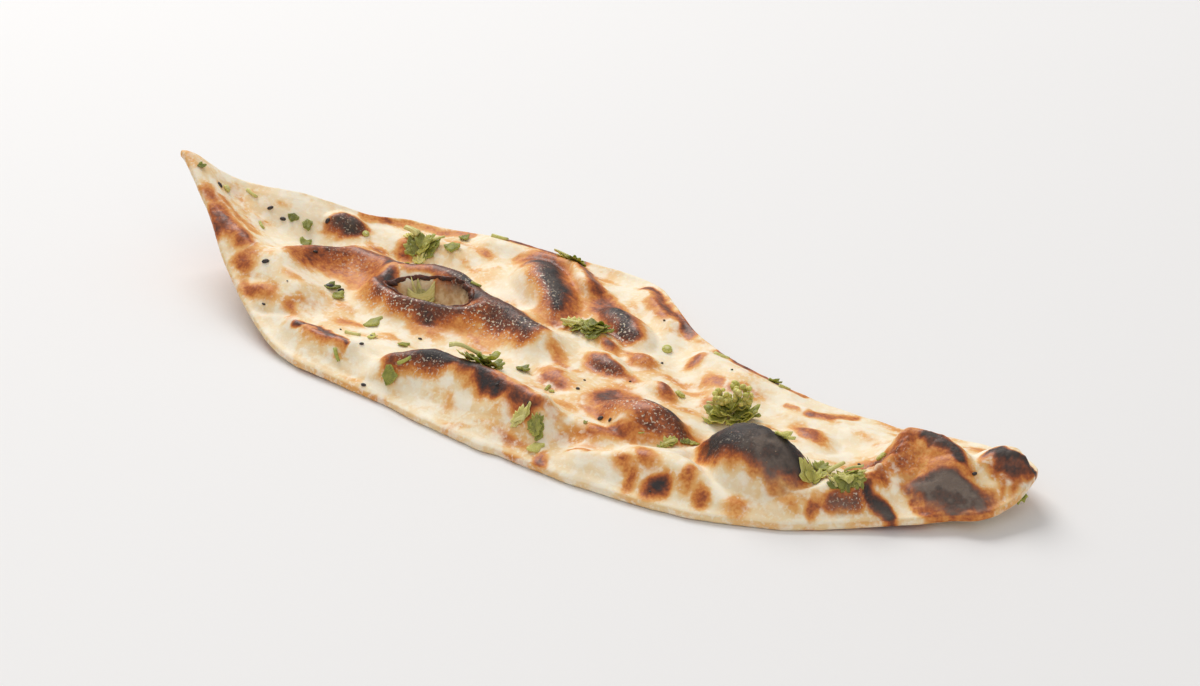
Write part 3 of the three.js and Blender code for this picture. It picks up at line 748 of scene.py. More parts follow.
# %% Helpers for shape trees
SOCKETS = {
    "number": "NodeSocketFloat", "count": "NodeSocketInt", "material": "NodeSocketMaterial",
    "group": "NodeSocketCollection",
}


def shape_tree(name, inputs):
    """A Geometry Nodes tree, its group input and a look-up of its named inputs. inputs is {name: kind}"""
    tree = bpy.data.node_groups.new(name, "GeometryNodeTree")
    tree.interface.new_socket("Shape", in_out="INPUT", socket_type="NodeSocketGeometry")
    for label, kind in inputs.items():
        tree.interface.new_socket(label, in_out="INPUT", socket_type=SOCKETS[kind])
    tree.interface.new_socket("Shape", in_out="OUTPUT", socket_type="NodeSocketGeometry")
    return tree, tree.nodes.new("NodeGroupInput").outputs


def close_tree(tree, shape, material):
    """Ends a tree: instances become real, smooth faces, and they get their material"""
    real = add(tree, "GeometryNodeRealizeInstances", {0: shape}).outputs[0]
    soft = add(tree, "GeometryNodeSetShadeSmooth", {"Geometry": real}).outputs[0]
    dressed = add(tree, "GeometryNodeSetMaterial", {"Geometry": soft, "Material": material}).outputs[0]
    add(tree, "NodeGroupOutput", {0: dressed})


def grow(thing, tree, values):
    """Runs the tree on an object with these inputs, and keeps the result as its plain mesh"""
    modifier = thing.modifiers.new(tree.name, "NODES")
    modifier.node_group = tree
    for item in tree.interface.items_tree:
        if item.in_out == "INPUT" and item.name in values:
            modifier[item.identifier] = values[item.name]
    evaluated = thing.evaluated_get(bpy.context.evaluated_depsgraph_get())
    mesh = bpy.data.meshes.new_from_object(evaluated)
    thing.modifiers.clear()
    thing.data = mesh
    mesh.name = thing.name
    print(thing.name, "has", sum(len(p.vertices) - 2 for p in mesh.polygons), "triangles")
    return thing


def stored(tree, name, kind="FLOAT"):
    return add(tree, "GeometryNodeInputNamedAttribute", {"Name": name}, data_type=kind).outputs["Attribute"]


RANDOM_SOCKETS = {"FLOAT": (2, 3, 1), "FLOAT_VECTOR": (0, 1, 0)}  # inputs for low and high, and output


def drawn(tree, kind, low, high, seed):
    """A random number or vector between low and high for every point"""
    least, most, result = RANDOM_SOCKETS[kind]
    inputs = {least: low, most: high, "Seed": seed}
    return add(tree, "FunctionNodeRandomValue", inputs, data_type=kind).outputs[result]


def set_on_points(tree, given, inputs):
    """Ends a tree that sets an instance on every point"""
    instances = add(tree, "GeometryNodeInstanceOnPoints", inputs).outputs[0]
    close_tree(tree, instances, given["Material"])


print("a tree's inputs can be:", ", ".join(SOCKETS))

# %% [markdown]
# Colours are written as a screen shows them, from 0 to 255, and a helper makes them the linear values
# that Blender mixes. The crust's colour follows its heat through a ramp: cream, straw, gold, brown, dark
# brown and charcoal. Two fine noises stir the heat first, which gives the pale specks in a toasted spot
# and its frayed rim. Buttered brown crust shines a little, raw flour and ash don't, so roughness follows
# the heat as well.

# %% Colour helpers
def paint(red, green, blue):
    """A screen colour as linear red, green, blue and alpha"""
    return tuple(((c / 255 + 0.055) / 1.055) ** 2.4 for c in (red, green, blue)) + (1.0,)


def ramp(tree, share, stops):
    """The colour at this share of a ramp. stops is [(share, colour)]"""
    made = add(tree, "ShaderNodeValToRGB", {"Fac": share})
    elements = made.color_ramp.elements
    while len(elements) < len(stops):
        elements.new(1)
    for element, (at, colour) in zip(elements, stops):
        element.position = at
        element.color = colour
    return made.outputs["Color"]


def blend(tree, share, first, second):
    """first where share is 0, second where it is 1"""
    return add(tree, "ShaderNodeMix", {0: share, 6: first, 7: second}, data_type="RGBA").outputs[2]


def grain(tree, place, size, detail=2.0, stretch=None):
    """Noise from 0 to 1 whose waves are size millimetres long"""
    if stretch:
        place = add(tree, "ShaderNodeMapping", {"Vector": place, "Scale": stretch}).outputs[0]
    inputs = {"Vector": place, "Scale": 1 / (size * MM), "Detail": detail}
    return add(tree, "ShaderNodeTexNoise", inputs).outputs["Fac"]


def stirred_by(tree, value, waves, strength):
    """value with noise of this strength added, as much up as down"""
    return calc(tree, "MULTIPLY_ADD", calc(tree, "SUBTRACT", waves, 0.5), strength, value)


def bumped(tree, height, strength, deep):
    """Normals of a surface that is uneven by deep millimetres"""
    inputs = {"Height": height, "Strength": strength, "Distance": deep * MM}
    return add(tree, "ShaderNodeBump", inputs).outputs[0]


def new_material(name):
    material = bpy.data.materials.new(name)
    material.use_nodes = True
    tree = material.node_tree
    place = add(tree, "ShaderNodeTexCoord").outputs["Object"]
    return material, tree, tree.nodes["Principled BSDF"], place


def read(tree, name):
    return add(tree, "ShaderNodeAttribute", attribute_name=name).outputs["Fac"]


print("the middle grey of a screen is", round(paint(128, 128, 128)[0], 2), "of white")

# %% Crust material
BAKING = [
    (0.0, paint(247, 231, 200)), (0.1, paint(242, 211, 160)), (0.22, paint(233, 173, 98)),
    (0.38, paint(214, 134, 60)), (0.54, paint(178, 93, 41)), (0.7, paint(126, 65, 36)),
    (0.86, paint(84, 46, 33)), (1.0, paint(50, 43, 42)),
]
PALE_DUST = paint(252, 244, 226)
FLOUR_FLECK = paint(226, 212, 190)
ASH_GREY = paint(126, 112, 102)
CRUMB_BEIGE = paint(230, 208, 170)
CRUMB_TAN = paint(202, 166, 120)
# Noises: size in mm, detail and stretch
CRUST_GRAINS = {
    "broad": (17,), "middle": (3.2,), "fine": (0.9, 3), "wisps": (7, 3, (0.42, 1, 1)), "dust": (5, 6),
    "mottle": (1.3,), "fleck": (0.75, 1), "crumb": (2, 3), "char": (0.6, 4),
}
# What a noise or the heat counts for: from, to, and the values there, 0 and 1 where none are given
CRUST_RANGES = {
    "stirring": (0.03, 0.4), "warmth": (0.4, 0.72, 0, 0.13), "wisps": (0.52, 0.74, 0, 0.27),
    "dust": (0.46, 0.62, 0, 0.7), "too hot for dust": (0.25, 0.05), "mottle": (0.5, 0.68, 0, 0.5),
    "too hot for mottle": (0.3, 0.1), "fleck": (0.6, 0.66), "ash": (0.34, 0.62, 0.32, 1),
    "crumb": (0.35, 0.65), "shine": (0.15, 0.6, 0.62, 0.4), "dull char": (0.8, 1, 0, 0.2),
    "char": (0.6, 0.95),
}
STIR_MIDDLE = 0.42
STIR_FINE = 0.5
ASH_DULL = 0.35
FINE_PORES = 0.35  # the share of the fine noise in the pores
CHAR_CRACKS = 1.2
CRUST_BUMP = (0.55, 0.35)  # strength and depth in mm


def crust_material():
    material, tree, shader, place = new_material("baked_crust")
    heat, ash, flour, crumb = (read(tree, name) for name in ("toasting", "ash", "flour", "crumb"))
    grains = {name: grain(tree, place, *look) for name, look in CRUST_GRAINS.items()}

    def ranged(value, name):
        return between(tree, value, *CRUST_RANGES[name])

    stirred = stirred_by(tree, heat, grains["middle"], STIR_MIDDLE)
    stirred = stirred_by(tree, stirred, grains["fine"], STIR_FINE)
    stirred = add(tree, "ShaderNodeMix", {0: ranged(heat, "stirring"), 2: heat, 3: stirred}).outputs[0]
    warmth = calc(tree, "ADD", ranged(grains["broad"], "warmth"), ranged(grains["wisps"], "wisps"))
    stirred = calc(tree, "ADD", stirred, warmth)
    colour = ramp(tree, stirred, BAKING)
    for name in ("dust", "mottle"):
        pale = product(tree, ranged(grains[name], name), ranged(heat, "too hot for " + name))
        colour = blend(tree, pale, colour, PALE_DUST)
    fleck = product(tree, ranged(grains["fleck"], "fleck"), flour)
    colour = blend(tree, fleck, colour, FLOUR_FLECK)
    ashy = product(tree, ash, ranged(grains["middle"], "ash"))
    colour = blend(tree, ashy, colour, ASH_GREY)
    torn_crumb = blend(tree, ranged(grains["crumb"], "crumb"), CRUMB_BEIGE, CRUMB_TAN)
    colour = blend(tree, crumb, colour, torn_crumb)
    rough = calc(tree, "ADD", ranged(stirred, "shine"), ranged(stirred, "dull char"))
    rough = calc(tree, "MULTIPLY_ADD", ashy, ASH_DULL, rough)
    pores = product(tree, grains["middle"], 1 - FINE_PORES)
    pores = calc(tree, "MULTIPLY_ADD", grains["fine"], FINE_PORES, pores)
    charred = product(tree, ranged(heat, "char"), grains["char"])
    pores = calc(tree, "MULTIPLY_ADD", charred, CHAR_CRACKS, pores)
    fill(tree, shader, {
        "Base Color": colour, "Roughness": rough, "Normal": bumped(tree, pores, *CRUST_BUMP),
        "Subsurface Weight": 0.14, "Subsurface Radius": (1.0, 0.55, 0.28), "Subsurface Scale": 2.2 * MM,
        "Specular IOR Level": 0.42,
    })
    return material


baked_crust = crust_material()
print("the crust's colours:", len(BAKING))

# %% [markdown]
# At arm's length the dough is smooth, but up close its skin is wavy and blistered, most where it is
# scorched. A small Geometry Nodes tree pushes every point along its normal by two noises and a net of
# cracks. Its inputs are the height and size of the waves, of the blisters and of the crumples between the
# cracks, so the skin can be made calmer or wilder without touching the tree.

# %% Baked skin
SKIN = {
    "Wave height": 0.22 * MM, "Wave size": 4.6 * MM, "Blister height": 0.4 * MM, "Blister size": 2.1 * MM,
    "Crumple height": 0.8 * MM, "Crumple size": 3.4 * MM,
}
SKIN_SEED = 4.0
BLISTERED = (0.1, 0.7)  # the heat over which blisters grow
CRACKED = (0.0, 0.35, -0.6, 0.4)  # from a crack to the middle of a crumple, and their heights


def skin_tree():
    inputs = dict.fromkeys(SKIN, "number") | {"Seed": "number", "Material": "material"}
    tree, given = shape_tree("baked skin", inputs)

    def waves(kind):
        """Noise around 0, of the size and height that the inputs of this kind give"""
        scale = calc(tree, "DIVIDE", 1.0, given[kind + " size"])
        settings = {"W": given["Seed"], "Scale": scale, "Detail": 2.0}
        wave = add(tree, "ShaderNodeTexNoise", settings, noise_dimensions="4D").outputs["Fac"]
        return product(tree, calc(tree, "MULTIPLY_ADD", wave, 2.0, -1.0), given[kind + " height"])

    blistered = between(tree, stored(tree, "toasting"), *BLISTERED)
    lift = calc(tree, "MULTIPLY_ADD", waves("Blister"), blistered, waves("Wave"))
    cells = {"W": given["Seed"], "Scale": calc(tree, "DIVIDE", 1.0, given["Crumple size"])}
    cracks = add(tree, "ShaderNodeTexVoronoi", cells, voronoi_dimensions="4D", feature="DISTANCE_TO_EDGE")
    folds = between(tree, cracks.outputs["Distance"], *CRACKED)
    folds = product(tree, folds, stored(tree, "crumple"), given["Crumple height"])
    lift = calc(tree, "ADD", lift, folds)
    normal = add(tree, "GeometryNodeInputNormal").outputs[0]
    offset = add(tree, "ShaderNodeVectorMath", {0: normal, "Scale": lift}, operation="SCALE").outputs[0]
    moved = add(tree, "GeometryNodeSetPosition", {"Geometry": given["Shape"], "Offset": offset}).outputs[0]
    close_tree(tree, moved, given["Material"])
    return tree


grow(crust, skin_tree(), SKIN | {"Seed": SKIN_SEED, "Material": baked_crust})
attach(crust, "root")
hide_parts("naan")

# %% [markdown]
# Everything that lies on the bread has to find its surface. A ray sent straight down onto the finished
# crust gives the height and the slope at any place, so leaves rest on the real relief.

# %% Resting on the crust
bread_surface = BVHTree.FromPolygons(
    [v.co for v in crust.data.vertices], [p.vertices for p in crust.data.polygons]
)
SKY = 0.2
NEAREST_MISS = 12 * MM


def surface_at(x, y):
    """The place and normal of the crust below or nearest to x, y, all in metres"""
    hit, normal, _, _ = bread_surface.ray_cast(Vector((x, y, SKY)), Vector((0, 0, -1)))
    if hit is None:
        hit, normal, _, _ = bread_surface.find_nearest(Vector((x, y, 0)), NEAREST_MISS)
    return hit, normal


summit, _ = surface_at(LARGE_BUBBLE[0] * MM, LARGE_BUBBLE[1] * MM)
print("height of the large bubble", round(1000 * summit.z, 1), "mm")

# %% [markdown]
# Where the bubble burst, its thin skin stayed as a ragged lip that bends a little way over the hole and
# charred first. It is a closed ring of film: the upper side runs from the crust inwards, the lower side
# back out.

# %% Torn lip of the burst bubble
LIP_COLUMNS = 160
LIP_ROWS = 7
LIP_OUTER = 1.14  # all as shares of the burst bubble's half length and half width
LIP_INNER = 0.96
LIP_RAGGED = [(0.11, 4.4, 51), (0.07, 13.6, 53)]  # how far, how often along the lip, and seed
LIP_THICK = 0.34
LIP_SUNK = 0.5
LIP_RISE = 0.5
LIP_DROOP = 0.8
LIP_HEAT = (0.66, 0.84)  # at its root and at its torn edge


def place_on_burst(angle, share):
    """Plan place of a point on an oval round the burst bubble, where the wandering puts it"""
    cx, cy, long, wide, turn = BURST["place"]
    x, y = turned(share * long * np.cos(angle), share * wide * np.sin(angle), turn)
    x, y = cx + x, cy + y
    wx, wy = wandered(x, y)
    return 2 * x - wx, 2 * y - wy


def lip_mesh():
    angle = np.linspace(0, 2 * np.pi, LIP_COLUMNS, endpoint=False)
    east, north = np.cos(angle), np.sin(angle)
    ragged = sum(far * noise(often * east, often * north, seed) for far, often, seed in LIP_RAGGED)
    hx, hy = place_on_burst(angle, LIP_OUTER)
    rim = np.array([surface_at(x * MM, y * MM)[0].z / MM for x, y in zip(hx, hy)])
    top = []
    for share in np.linspace(0, 1, LIP_ROWS):
        x, y = place_on_burst(angle, mix(LIP_OUTER, LIP_INNER + ragged, share))
        bend = LIP_RISE * np.sin(np.pi * share) - LIP_DROOP * share**2 - LIP_SUNK * (1 - share) ** 3
        top.append(np.column_stack([x, y, rim + bend]))
    rows = top + [row - [0, 0, LIP_THICK] for row in reversed(top)]
    heat = [mix(*LIP_HEAT, share) for share in np.linspace(0, 1, LIP_ROWS)]
    heat = np.repeat(heat + heat[::-1], LIP_COLUMNS)
    faces = []
    for r in range(len(rows)):
        for k in range(LIP_COLUMNS):
            low, high = r * LIP_COLUMNS, (r + 1) % len(rows) * LIP_COLUMNS
            following = (k + 1) % LIP_COLUMNS
            faces.append((low + k, low + following, high + following, high + k))
    return np.vstack(rows) * MM, faces, heat


lip_points, lip_faces, lip_heat = lip_mesh()
unmarked = np.zeros(len(lip_points))
lip_values = {"toasting": lip_heat, "ash": unmarked, "flour": unmarked, "crumb": unmarked}
lip = plain_mesh("torn_lip", lip_points, lip_faces, lip_values)
lip.data.materials.append(baked_crust)
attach(lip, "root")
print("the lip is", LIP_THICK, "mm thick and has", len(lip_faces), "faces")

# %% [markdown]
# Chopped coriander comes in four kinds: torn leaf, slivers of thin stalk, round slices of thick stalk,
# and small buds. A leaf here is a fan with lobes and teeth, given two faces and a thin rim so that it is
# closed. Each point remembers how far across and along the leaf it is, which the material turns into
# veins.

# %% Leaf, stalk and knob shapes
LEAF_THICK = 0.26
LEAF_OPEN = 62  # half of the angle that the fan opens, in degrees
LOBE_DEPTH = 0.3  # this and the next three are shares of the leaf's length
TOOTH_DEPTH = 0.12
SIDE_LOSS = 0.22  # how much shorter the fan is at its sides
LEAF_WAVE = 0.09  # how high its lobes stand
LOBE_POWER = 0.6  # the smaller, the narrower the gaps between the lobes
STALK_TAPER = 0.2
BUD_RINGS = (35, 70, 110, 145)  # degrees from its foot
BUD_SIDES = 8


def leaf_fan(length, lobes, teeth, spread, curl, lean, columns, rings):
    """Places in mm of a leaf with its foot at the origin, pointing along +X, and across and along values"""
    across = np.linspace(-1, 1, columns)
    lobed = np.abs(np.cos(0.5 * np.pi * (lobes * across + lean))) ** LOBE_POWER
    lobed = 1 - LOBE_DEPTH + LOBE_DEPTH * lobed
    toothed = 1 - TOOTH_DEPTH * np.abs(np.sin(0.5 * np.pi * teeth * across))
    outline = length * lobed * toothed * (1 - SIDE_LOSS * across**2)
    angle = np.radians(LEAF_OPEN) * across
    along = (np.arange(1, rings + 1) / rings)[:, None]
    x = along * outline * np.cos(angle)
    y = along * outline * np.sin(angle) * spread
    z = curl * along**2 + LEAF_WAVE * length * along**2 * np.cos(np.pi * (lobes * across + lean))
    places = np.dstack([x, y, z]).reshape(-1, 3)
    across_all = np.broadcast_to(across, x.shape).ravel()
    along_all = np.broadcast_to(along, x.shape).ravel()
    return np.vstack([[0, 0, 0], places]), np.append(0, across_all), np.append(0, along_all)


def fan_faces(columns, rings):
    faces = [(0, 1 + k, 2 + k) for k in range(columns - 1)]
    for r in range(rings - 1):
        for k in range(columns - 1):
            a = 1 + r * columns + k
            faces.append((a, a + columns, a + columns + 1, a + 1))
    return faces


def fan_rim(columns, rings):
    """The fan's outline as point numbers, counterclockwise seen from above"""
    low_side = [1 + r * columns for r in range(rings)]
    outer = [1 + (rings - 1) * columns + k for k in range(1, columns)]
    high_side = [(r + 1) * columns for r in range(rings - 2, -1, -1)]
    return [0, *low_side, *outer, *high_side]


def thick_sheet(top, faces, rim, thick):
    """Closes a sheet: the same sheet again below it, and a wall round its rim"""
    count = len(top)
    points = np.vstack([top, top - [0, 0, thick]])
    below = [tuple(count + k for k in reversed(face)) for face in faces]
    wall = [(a + count, b + count, b, a) for a, b in zip(rim, rim[1:] + rim[:1])]
    return points, [*faces, *below, *wall]


def rounded(radii, steps, sides):
    """A closed body round the X axis with these radii at these steps, and how far round each point is"""
    angle = np.linspace(0, 2 * np.pi, sides, endpoint=False)
    radii, steps = np.asarray(radii)[:, None], np.asarray(steps)[:, None]
    body = np.dstack([steps + 0 * angle, radii * np.cos(angle), radii * np.sin(angle)]).reshape(-1, 3)
    points = np.vstack([body, [(steps[0, 0], 0, 0), (steps[-1, 0], 0, 0)]])
    first, last, top = len(body), len(body) + 1, len(body) - sides
    faces = []
    for k in range(sides):
        following = (k + 1) % sides
        faces.append((first, following, k))
        faces.append((last, top + k, top + following))
        for r in range(0, top, sides):
            faces.append((r + k, r + following, r + sides + following, r + sides + k))
    turn = np.tile(angle / (2 * np.pi), len(radii))
    return points, faces, np.append(turn, [0, 0])


def stalk(length, radius, sides, steps, bend):
    """A bent stalk along +X with cut ends, its around values and its cut values, 1 on the cuts"""
    share = np.linspace(0, 1, steps + 1)
    points, faces, around = rounded(radius * (1 - STALK_TAPER * share), length * share, sides)
    points = points + np.outer(bend * points[:, 0] ** 2 / length, [0, 1, 0])
    return points, faces, around, np.append(np.zeros(len(points) - 2), [1, 1])


def knob(radius):
    """A small ball"""
    polar = np.radians(BUD_RINGS)
    return rounded(radius * np.sin(polar), -radius * np.cos(polar), BUD_SIDES)


print("a leaf of 7 by 3 points has", len(fan_faces(7, 3)), "faces on each side")

# %% [markdown]
# Fresh leaves are a mottled, slightly glossy green with paler veins and edges. The buds share the leaves'
# material, and there the paler edge falls on one side of every bud as a slight painted highlight. Stalks
# are yellow-green, ribbed along their length, and pale where the knife cut them. Each piece has its own
# tint, from dark leaf to yellow stalk, so that no two bits look alike.

# %% Coriander materials
LEAF_TINTS = [
    (0.0, paint(108, 112, 48)), (0.3, paint(144, 146, 62)), (0.65, paint(188, 184, 88)),
    (1.0, paint(226, 216, 130)),
]
STALK_TINTS = [(0.0, paint(150, 158, 68)), (0.5, paint(196, 196, 98)), (1.0, paint(228, 220, 146))]
CUT_PALE = paint(220, 214, 160)
LEAF_MOTTLE = 0.7
VEIN_WAVES = 18.8  # radians from the middle of a leaf to its side
VEIN_LINE = (0.9, 1.0)
VEIN_PALER = 0.16
VEIN_DEPTH = 0.6
# a leaf's paler rim; on a bud, along is how far round it is, so this paints a highlight on one side
RIM_PALER_AND_BUD_HIGHLIGHT = (0.85, 1.0, 0.0, 0.12)  # from and to where along the leaf, and how much there
STALK_MOTTLE = 0.8
RIB_WAVES = 56.5  # radians round a stalk, which makes nine ribs
RIB_PALER = 0.12
CUT_EDGE = (0.3, 0.9)


def leaf_material():
    material, tree, shader, place = new_material("coriander_leaf")
    mottle = grain(tree, place, 1.3, 3.0)
    tint = stirred_by(tree, read(tree, "tint"), mottle, LEAF_MOTTLE)
    veins = calc(tree, "COSINE", product(tree, read(tree, "across"), VEIN_WAVES))
    veins = between(tree, calc(tree, "ABSOLUTE", veins), *VEIN_LINE)
    tint = calc(tree, "MULTIPLY_ADD", veins, VEIN_PALER, tint)
    # paler rim of a leaf, and a painted highlight on one side of every bud
    tint = calc(tree, "ADD", tint, between(tree, read(tree, "along"), *RIM_PALER_AND_BUD_HIGHLIGHT))
    height = calc(tree, "MULTIPLY_ADD", veins, -VEIN_DEPTH, grain(tree, place, 0.5))
    fill(tree, shader, {
        "Base Color": ramp(tree, tint, LEAF_TINTS), "Roughness": between(tree, mottle, 0.3, 0.7, 0.42, 0.62),
        "Normal": bumped(tree, height, 0.5, 0.2), "Subsurface Weight": 0.35,
        "Subsurface Radius": (0.8, 1.0, 0.25), "Subsurface Scale": 1.2 * MM,
    })
    return material


def stalk_material():
    material, tree, shader, place = new_material("coriander_stalk")
    ribs = calc(tree, "SINE", product(tree, read(tree, "around"), RIB_WAVES))
    tint = calc(tree, "MULTIPLY_ADD", ribs, RIB_PALER, read(tree, "tint"))
    tint = stirred_by(tree, tint, grain(tree, place, 0.8), STALK_MOTTLE)
    cut = between(tree, read(tree, "cut"), *CUT_EDGE)
    fill(tree, shader, {
        "Base Color": blend(tree, cut, ramp(tree, tint, STALK_TINTS), CUT_PALE),
        "Roughness": between(tree, ribs, -1.0, 1.0, 0.35, 0.55), "Normal": bumped(tree, ribs, 0.4, 0.1),
    })
    return material


leaf_green = leaf_material()
stalk_green = stalk_material()
print("tints of leaf and stalk:", len(LEAF_TINTS), "and", len(STALK_TINTS))

# %% [markdown]
# The larger sprigs are each a separate piece: a low heap of torn leaves with a stalk or two. A seeded
# draw fills each heap, so that no two leaves are alike. It sets a leaf's place, direction, length, lobes
# and tilt; the leaf is then draped, every point raised by the crust's height right under it. The tall
# tuft by the dark bubble stands steeper and has heads of buds on top.

# %% Where the sprigs lie
GOLDEN_TURN = 2.4  # from one leaf of a heap to the next, in radians
STRAY = 60  # how far a leaf may point away from the heap's middle, in degrees
FLAT_TILT = 3  # tilt of the leaves at a heap's rim
ASTRAY = 0.4  # how far a leaf may lie round from its place in the spiral, in radians
SIZES = (0.7, 1.2)  # of one heap's leaves, as shares
SPREADS = (0.7, 1.15)
TILT_MORE = (-3, 9)
LOBES = (2, 5)
LEAN_MOST = 0.5


def heap(
    x, y, long, wide, turn, leaves, size, tall, tints, seed, steep=20, slim=1.0, low=0.0, stray=STRAY
):
    """Leaves heaped on an oval about x, y. The middle ones lie highest and stand steepest"""
    draw = np.random.default_rng(seed)
    made = []
    for k in range(leaves):
        out = math.sqrt((k + 0.5) / leaves)
        angle = GOLDEN_TURN * k + draw.uniform(-ASTRAY, ASTRAY)
        along, across = out * long * math.cos(angle), out * wide * math.sin(angle)
        east, north = turned(along, across, turn)
        made.append({
            "x": x + east,
            "y": y + north,
            "turn": math.degrees(math.atan2(across, along)) + turn + draw.uniform(-stray, stray),
            "length": size * draw.uniform(*SIZES),
            "spread": slim * draw.uniform(*SPREADS),
            "tilt": mix(steep, FLAT_TILT, out) + draw.uniform(*TILT_MORE),
            "lift": low + tall * (1 - out),
            "tint": draw.uniform(*tints),
            "lobes": int(draw.integers(*LOBES)),
            "lean": draw.uniform(-LEAN_MOST, LEAN_MOST),
        })
    return made


# Stalks: x, y, direction, length, radius, tilt, lift, tint
SPRIGS = {
    "coriander_by_dark_bubble": {
        "at": (62, -9),
        "leaves": heap(0, 0, 6.4, 4.4, 32, 26, 6.4, 3, (0.1, 0.7), 7, steep=48, slim=0.6),
        "stalks": [(-2, 0, 210, 6, 0.5, 20, 3, 0.9), (1, 0, 20, 5, 0.5, 30, 3, 0.9)],
    },
    "coriander_on_back_slope": {
        "at": (-73, 32),
        "leaves": [
            *heap(0.8, -0.4, 4.6, 3, 20, 13, 4.4, 1.4, (0.05, 0.5), 11),
            *heap(-5, 1.8, 1.8, 1.2, 0, 5, 3, 1, (0.9, 1.1), 12),
            *heap(1.6, -4.6, 1.8, 1.1, 20, 4, 3, 0.4, (0.8, 1.1), 13),
        ],
        "stalks": [(-2, 0.6, 168, 5.4, 1, 12, 1.2, 1), (3, 1, 30, 4, 0.5, 8, 1, 0.7)],
    },
    "coriander_long_leaf": {
        "at": (-9, -27),
        "leaves": [
            *heap(0.6, 0.8, 3, 1.2, 32, 6, 7.6, 2.4, (0, 0.35), 21, steep=26),
            *heap(-4.4, -2, 3.4, 1, 32, 4, 4.6, 2, (0.6, 0.95), 22),
        ],
        "stalks": [(-0.6, 0, 212, 9, 0.8, 2, 3, 1), (-1, 0.8, 206, 7, 0.6, 4, 3, 0.9)],
    },
    "coriander_middle": {
        "at": (0, 13),
        "leaves": [
            *heap(3.8, -0.6, 4.2, 2.4, -12, 11, 4.8, 1.4, (0, 0.35), 31),
            *heap(-4.2, 0.4, 3.6, 1.8, -8, 7, 4.4, 0.9, (0.3, 0.85), 32),
        ],
        "stalks": [(-1, 0, 182, 7, 0.6, 6, 1, 0.9), (2, 0, -30, 6, 0.4, 6, 0.8, 0.6)],
    },
    "coriander_by_peak": {
        "at": (102, -26),
        "leaves": [
            *heap(-5.4, -1.8, 2.8, 1.4, 30, 6, 3.6, 0.5, (0.4, 1), 41, steep=8),
            *heap(-5.6, 3, 2.8, 1.4, 30, 6, 3.6, 0.6, (0, 0.3), 42, steep=14),
            *heap(3.6, 0.4, 4.8, 2.2, 24, 13, 4, 0.8, (0.3, 1.1), 43, steep=8),
            *heap(4.4, -2, 4.2, 0.8, 24, 7, 3.4, 0.4, (0, 0.2), 44, steep=6),
        ],
        "stalks": [(-1.4, -1.6, 66, 6.4, 0.7, 16, 1.4, 0.9), (2, 1, 15, 5, 0.5, 8, 1.2, 0.9)],
    },
    "coriander_stalk_slice": {
        "at": (-53, 6),
        "leaves": heap(
            -1, -0.8, 4, 0.5, 25, 8, 6.2, 0.3, (0.85, 1.2), 52, steep=0, slim=0.42, low=0.7, stray=6
        ),
        "stalks": [(-5.6, -2, 20, 8.4, 0.8, 1, 0.9, 1), (-4.6, -3, 18, 7.4, 0.7, 1, 0.8, 1.1)],
    },
    "coriander_front_pair": {
        "at": (17, -43.5),
        "leaves": [
            *heap(2.6, 0, 1.8, 1.1, 0, 6, 2.8, 0.4, (0.1, 0.45), 61),
            *heap(-2.4, 0.4, 2, 0.8, 20, 5, 2.6, 0.3, (0.7, 1), 62),
        ],
        "stalks": [(-1, 0, 190, 3, 0.4, 6, 0.4, 1)],
    },
    "coriander_on_back_edge": {
        "at": (-27, 47),
        "leaves": [
            *heap(2, -0.6, 2.8, 1.6, -14, 7, 3.8, 0.8, (0.1, 0.5), 71),
            *heap(-3, 0.6, 2, 1, -10, 3, 3.2, 0.4, (0.5, 0.9), 72),
        ],
        "stalks": [(-0.6, 0, 168, 5.4, 0.6, 4, 0.6, 0.9)],
    },
    "coriander_in_valley": {
        "at": (57.5, -30),
        "leaves": [
            *heap(-2.2, -1.8, 2.8, 0.6, 40, 5, 2.4, 0.2, (0.2, 0.7), 81, steep=8),
            *heap(2.2, 2, 2.6, 0.6, 45, 5, 2.4, 0.2, (0.1, 0.5), 82, steep=8),
        ],
        "stalks": [(-1, -1, 218, 3.4, 0.4, 4, 0.3, 0.8)],
    },
}
# Heads of buds: place about the tuft's middle, half width, half height, number of buds
HEADS = [((-2.8, -1.6, 6.6), 2.2, 2, 30), ((2.4, 1, 7.4), 2.5, 2.6, 38), ((-1, 2.2, 9), 0.8, 0.9, 6)]
BUD = (0.5, 0.95)  # radius
BUD_TINT = (0.5, 0.95)
HEAD_SEED = 7
print(len(SPRIGS), "sprigs with", sum(len(sprig["leaves"]) for sprig in SPRIGS.values()), "leaves")

# %% Sprigs
REST_GAP = 0.25
LEAF_COLUMNS = 13
LEAF_RINGS = 4
LEAF_TEETH = 9
LEAF_CURL = 0.1  # of its length
LEAF_FOOT = 0.45  # the share of its length that lies behind a leaf's place
STALK_SHAPE = (10, 5, 0.14)  # sides, steps and bend


def tilted_and_turned(points, tilt, turn):
    """Points tilted up about Y and then turned about Z, in degrees"""
    x, z = turned(points[:, 0], points[:, 2], tilt)
    return np.column_stack([*turned(x, points[:, 1], turn), z])


def draped(points, at, lift):
    """Sets points, in mm about at, above the crust under each of them"""
    points = points + [at[0], at[1], 0]
    ground = np.array([surface_at(x * MM, y * MM)[0].z / MM for x, y in points[:, :2]])
    return np.column_stack([points[:, :2], ground + points[:, 2] + lift + REST_GAP])


def join_parts(name, parts, materials):
    """One piece from several closed ones, each given as (points, faces, material number, values)"""
    points, faces, slots, values, count = [], [], [], {}, 0
    for places, part_faces, material, part_values in parts:
        points.append(places)
        faces.extend(tuple(count + k for k in face) for face in part_faces)
        slots.extend([material] * len(part_faces))
        for key in ("across", "along", "around", "cut", "tint"):
            numbers = part_values.get(key, 0.0)
            values.setdefault(key, []).append(np.broadcast_to(numbers, (len(places),)))
        count += len(places)
    values = {key: np.concatenate(numbers) for key, numbers in values.items()}
    piece = plain_mesh(name, np.vstack(points) * MM, faces, values)
    for material in materials:
        piece.data.materials.append(material)
    piece.data.polygons.foreach_set("material_index", slots)
    return piece


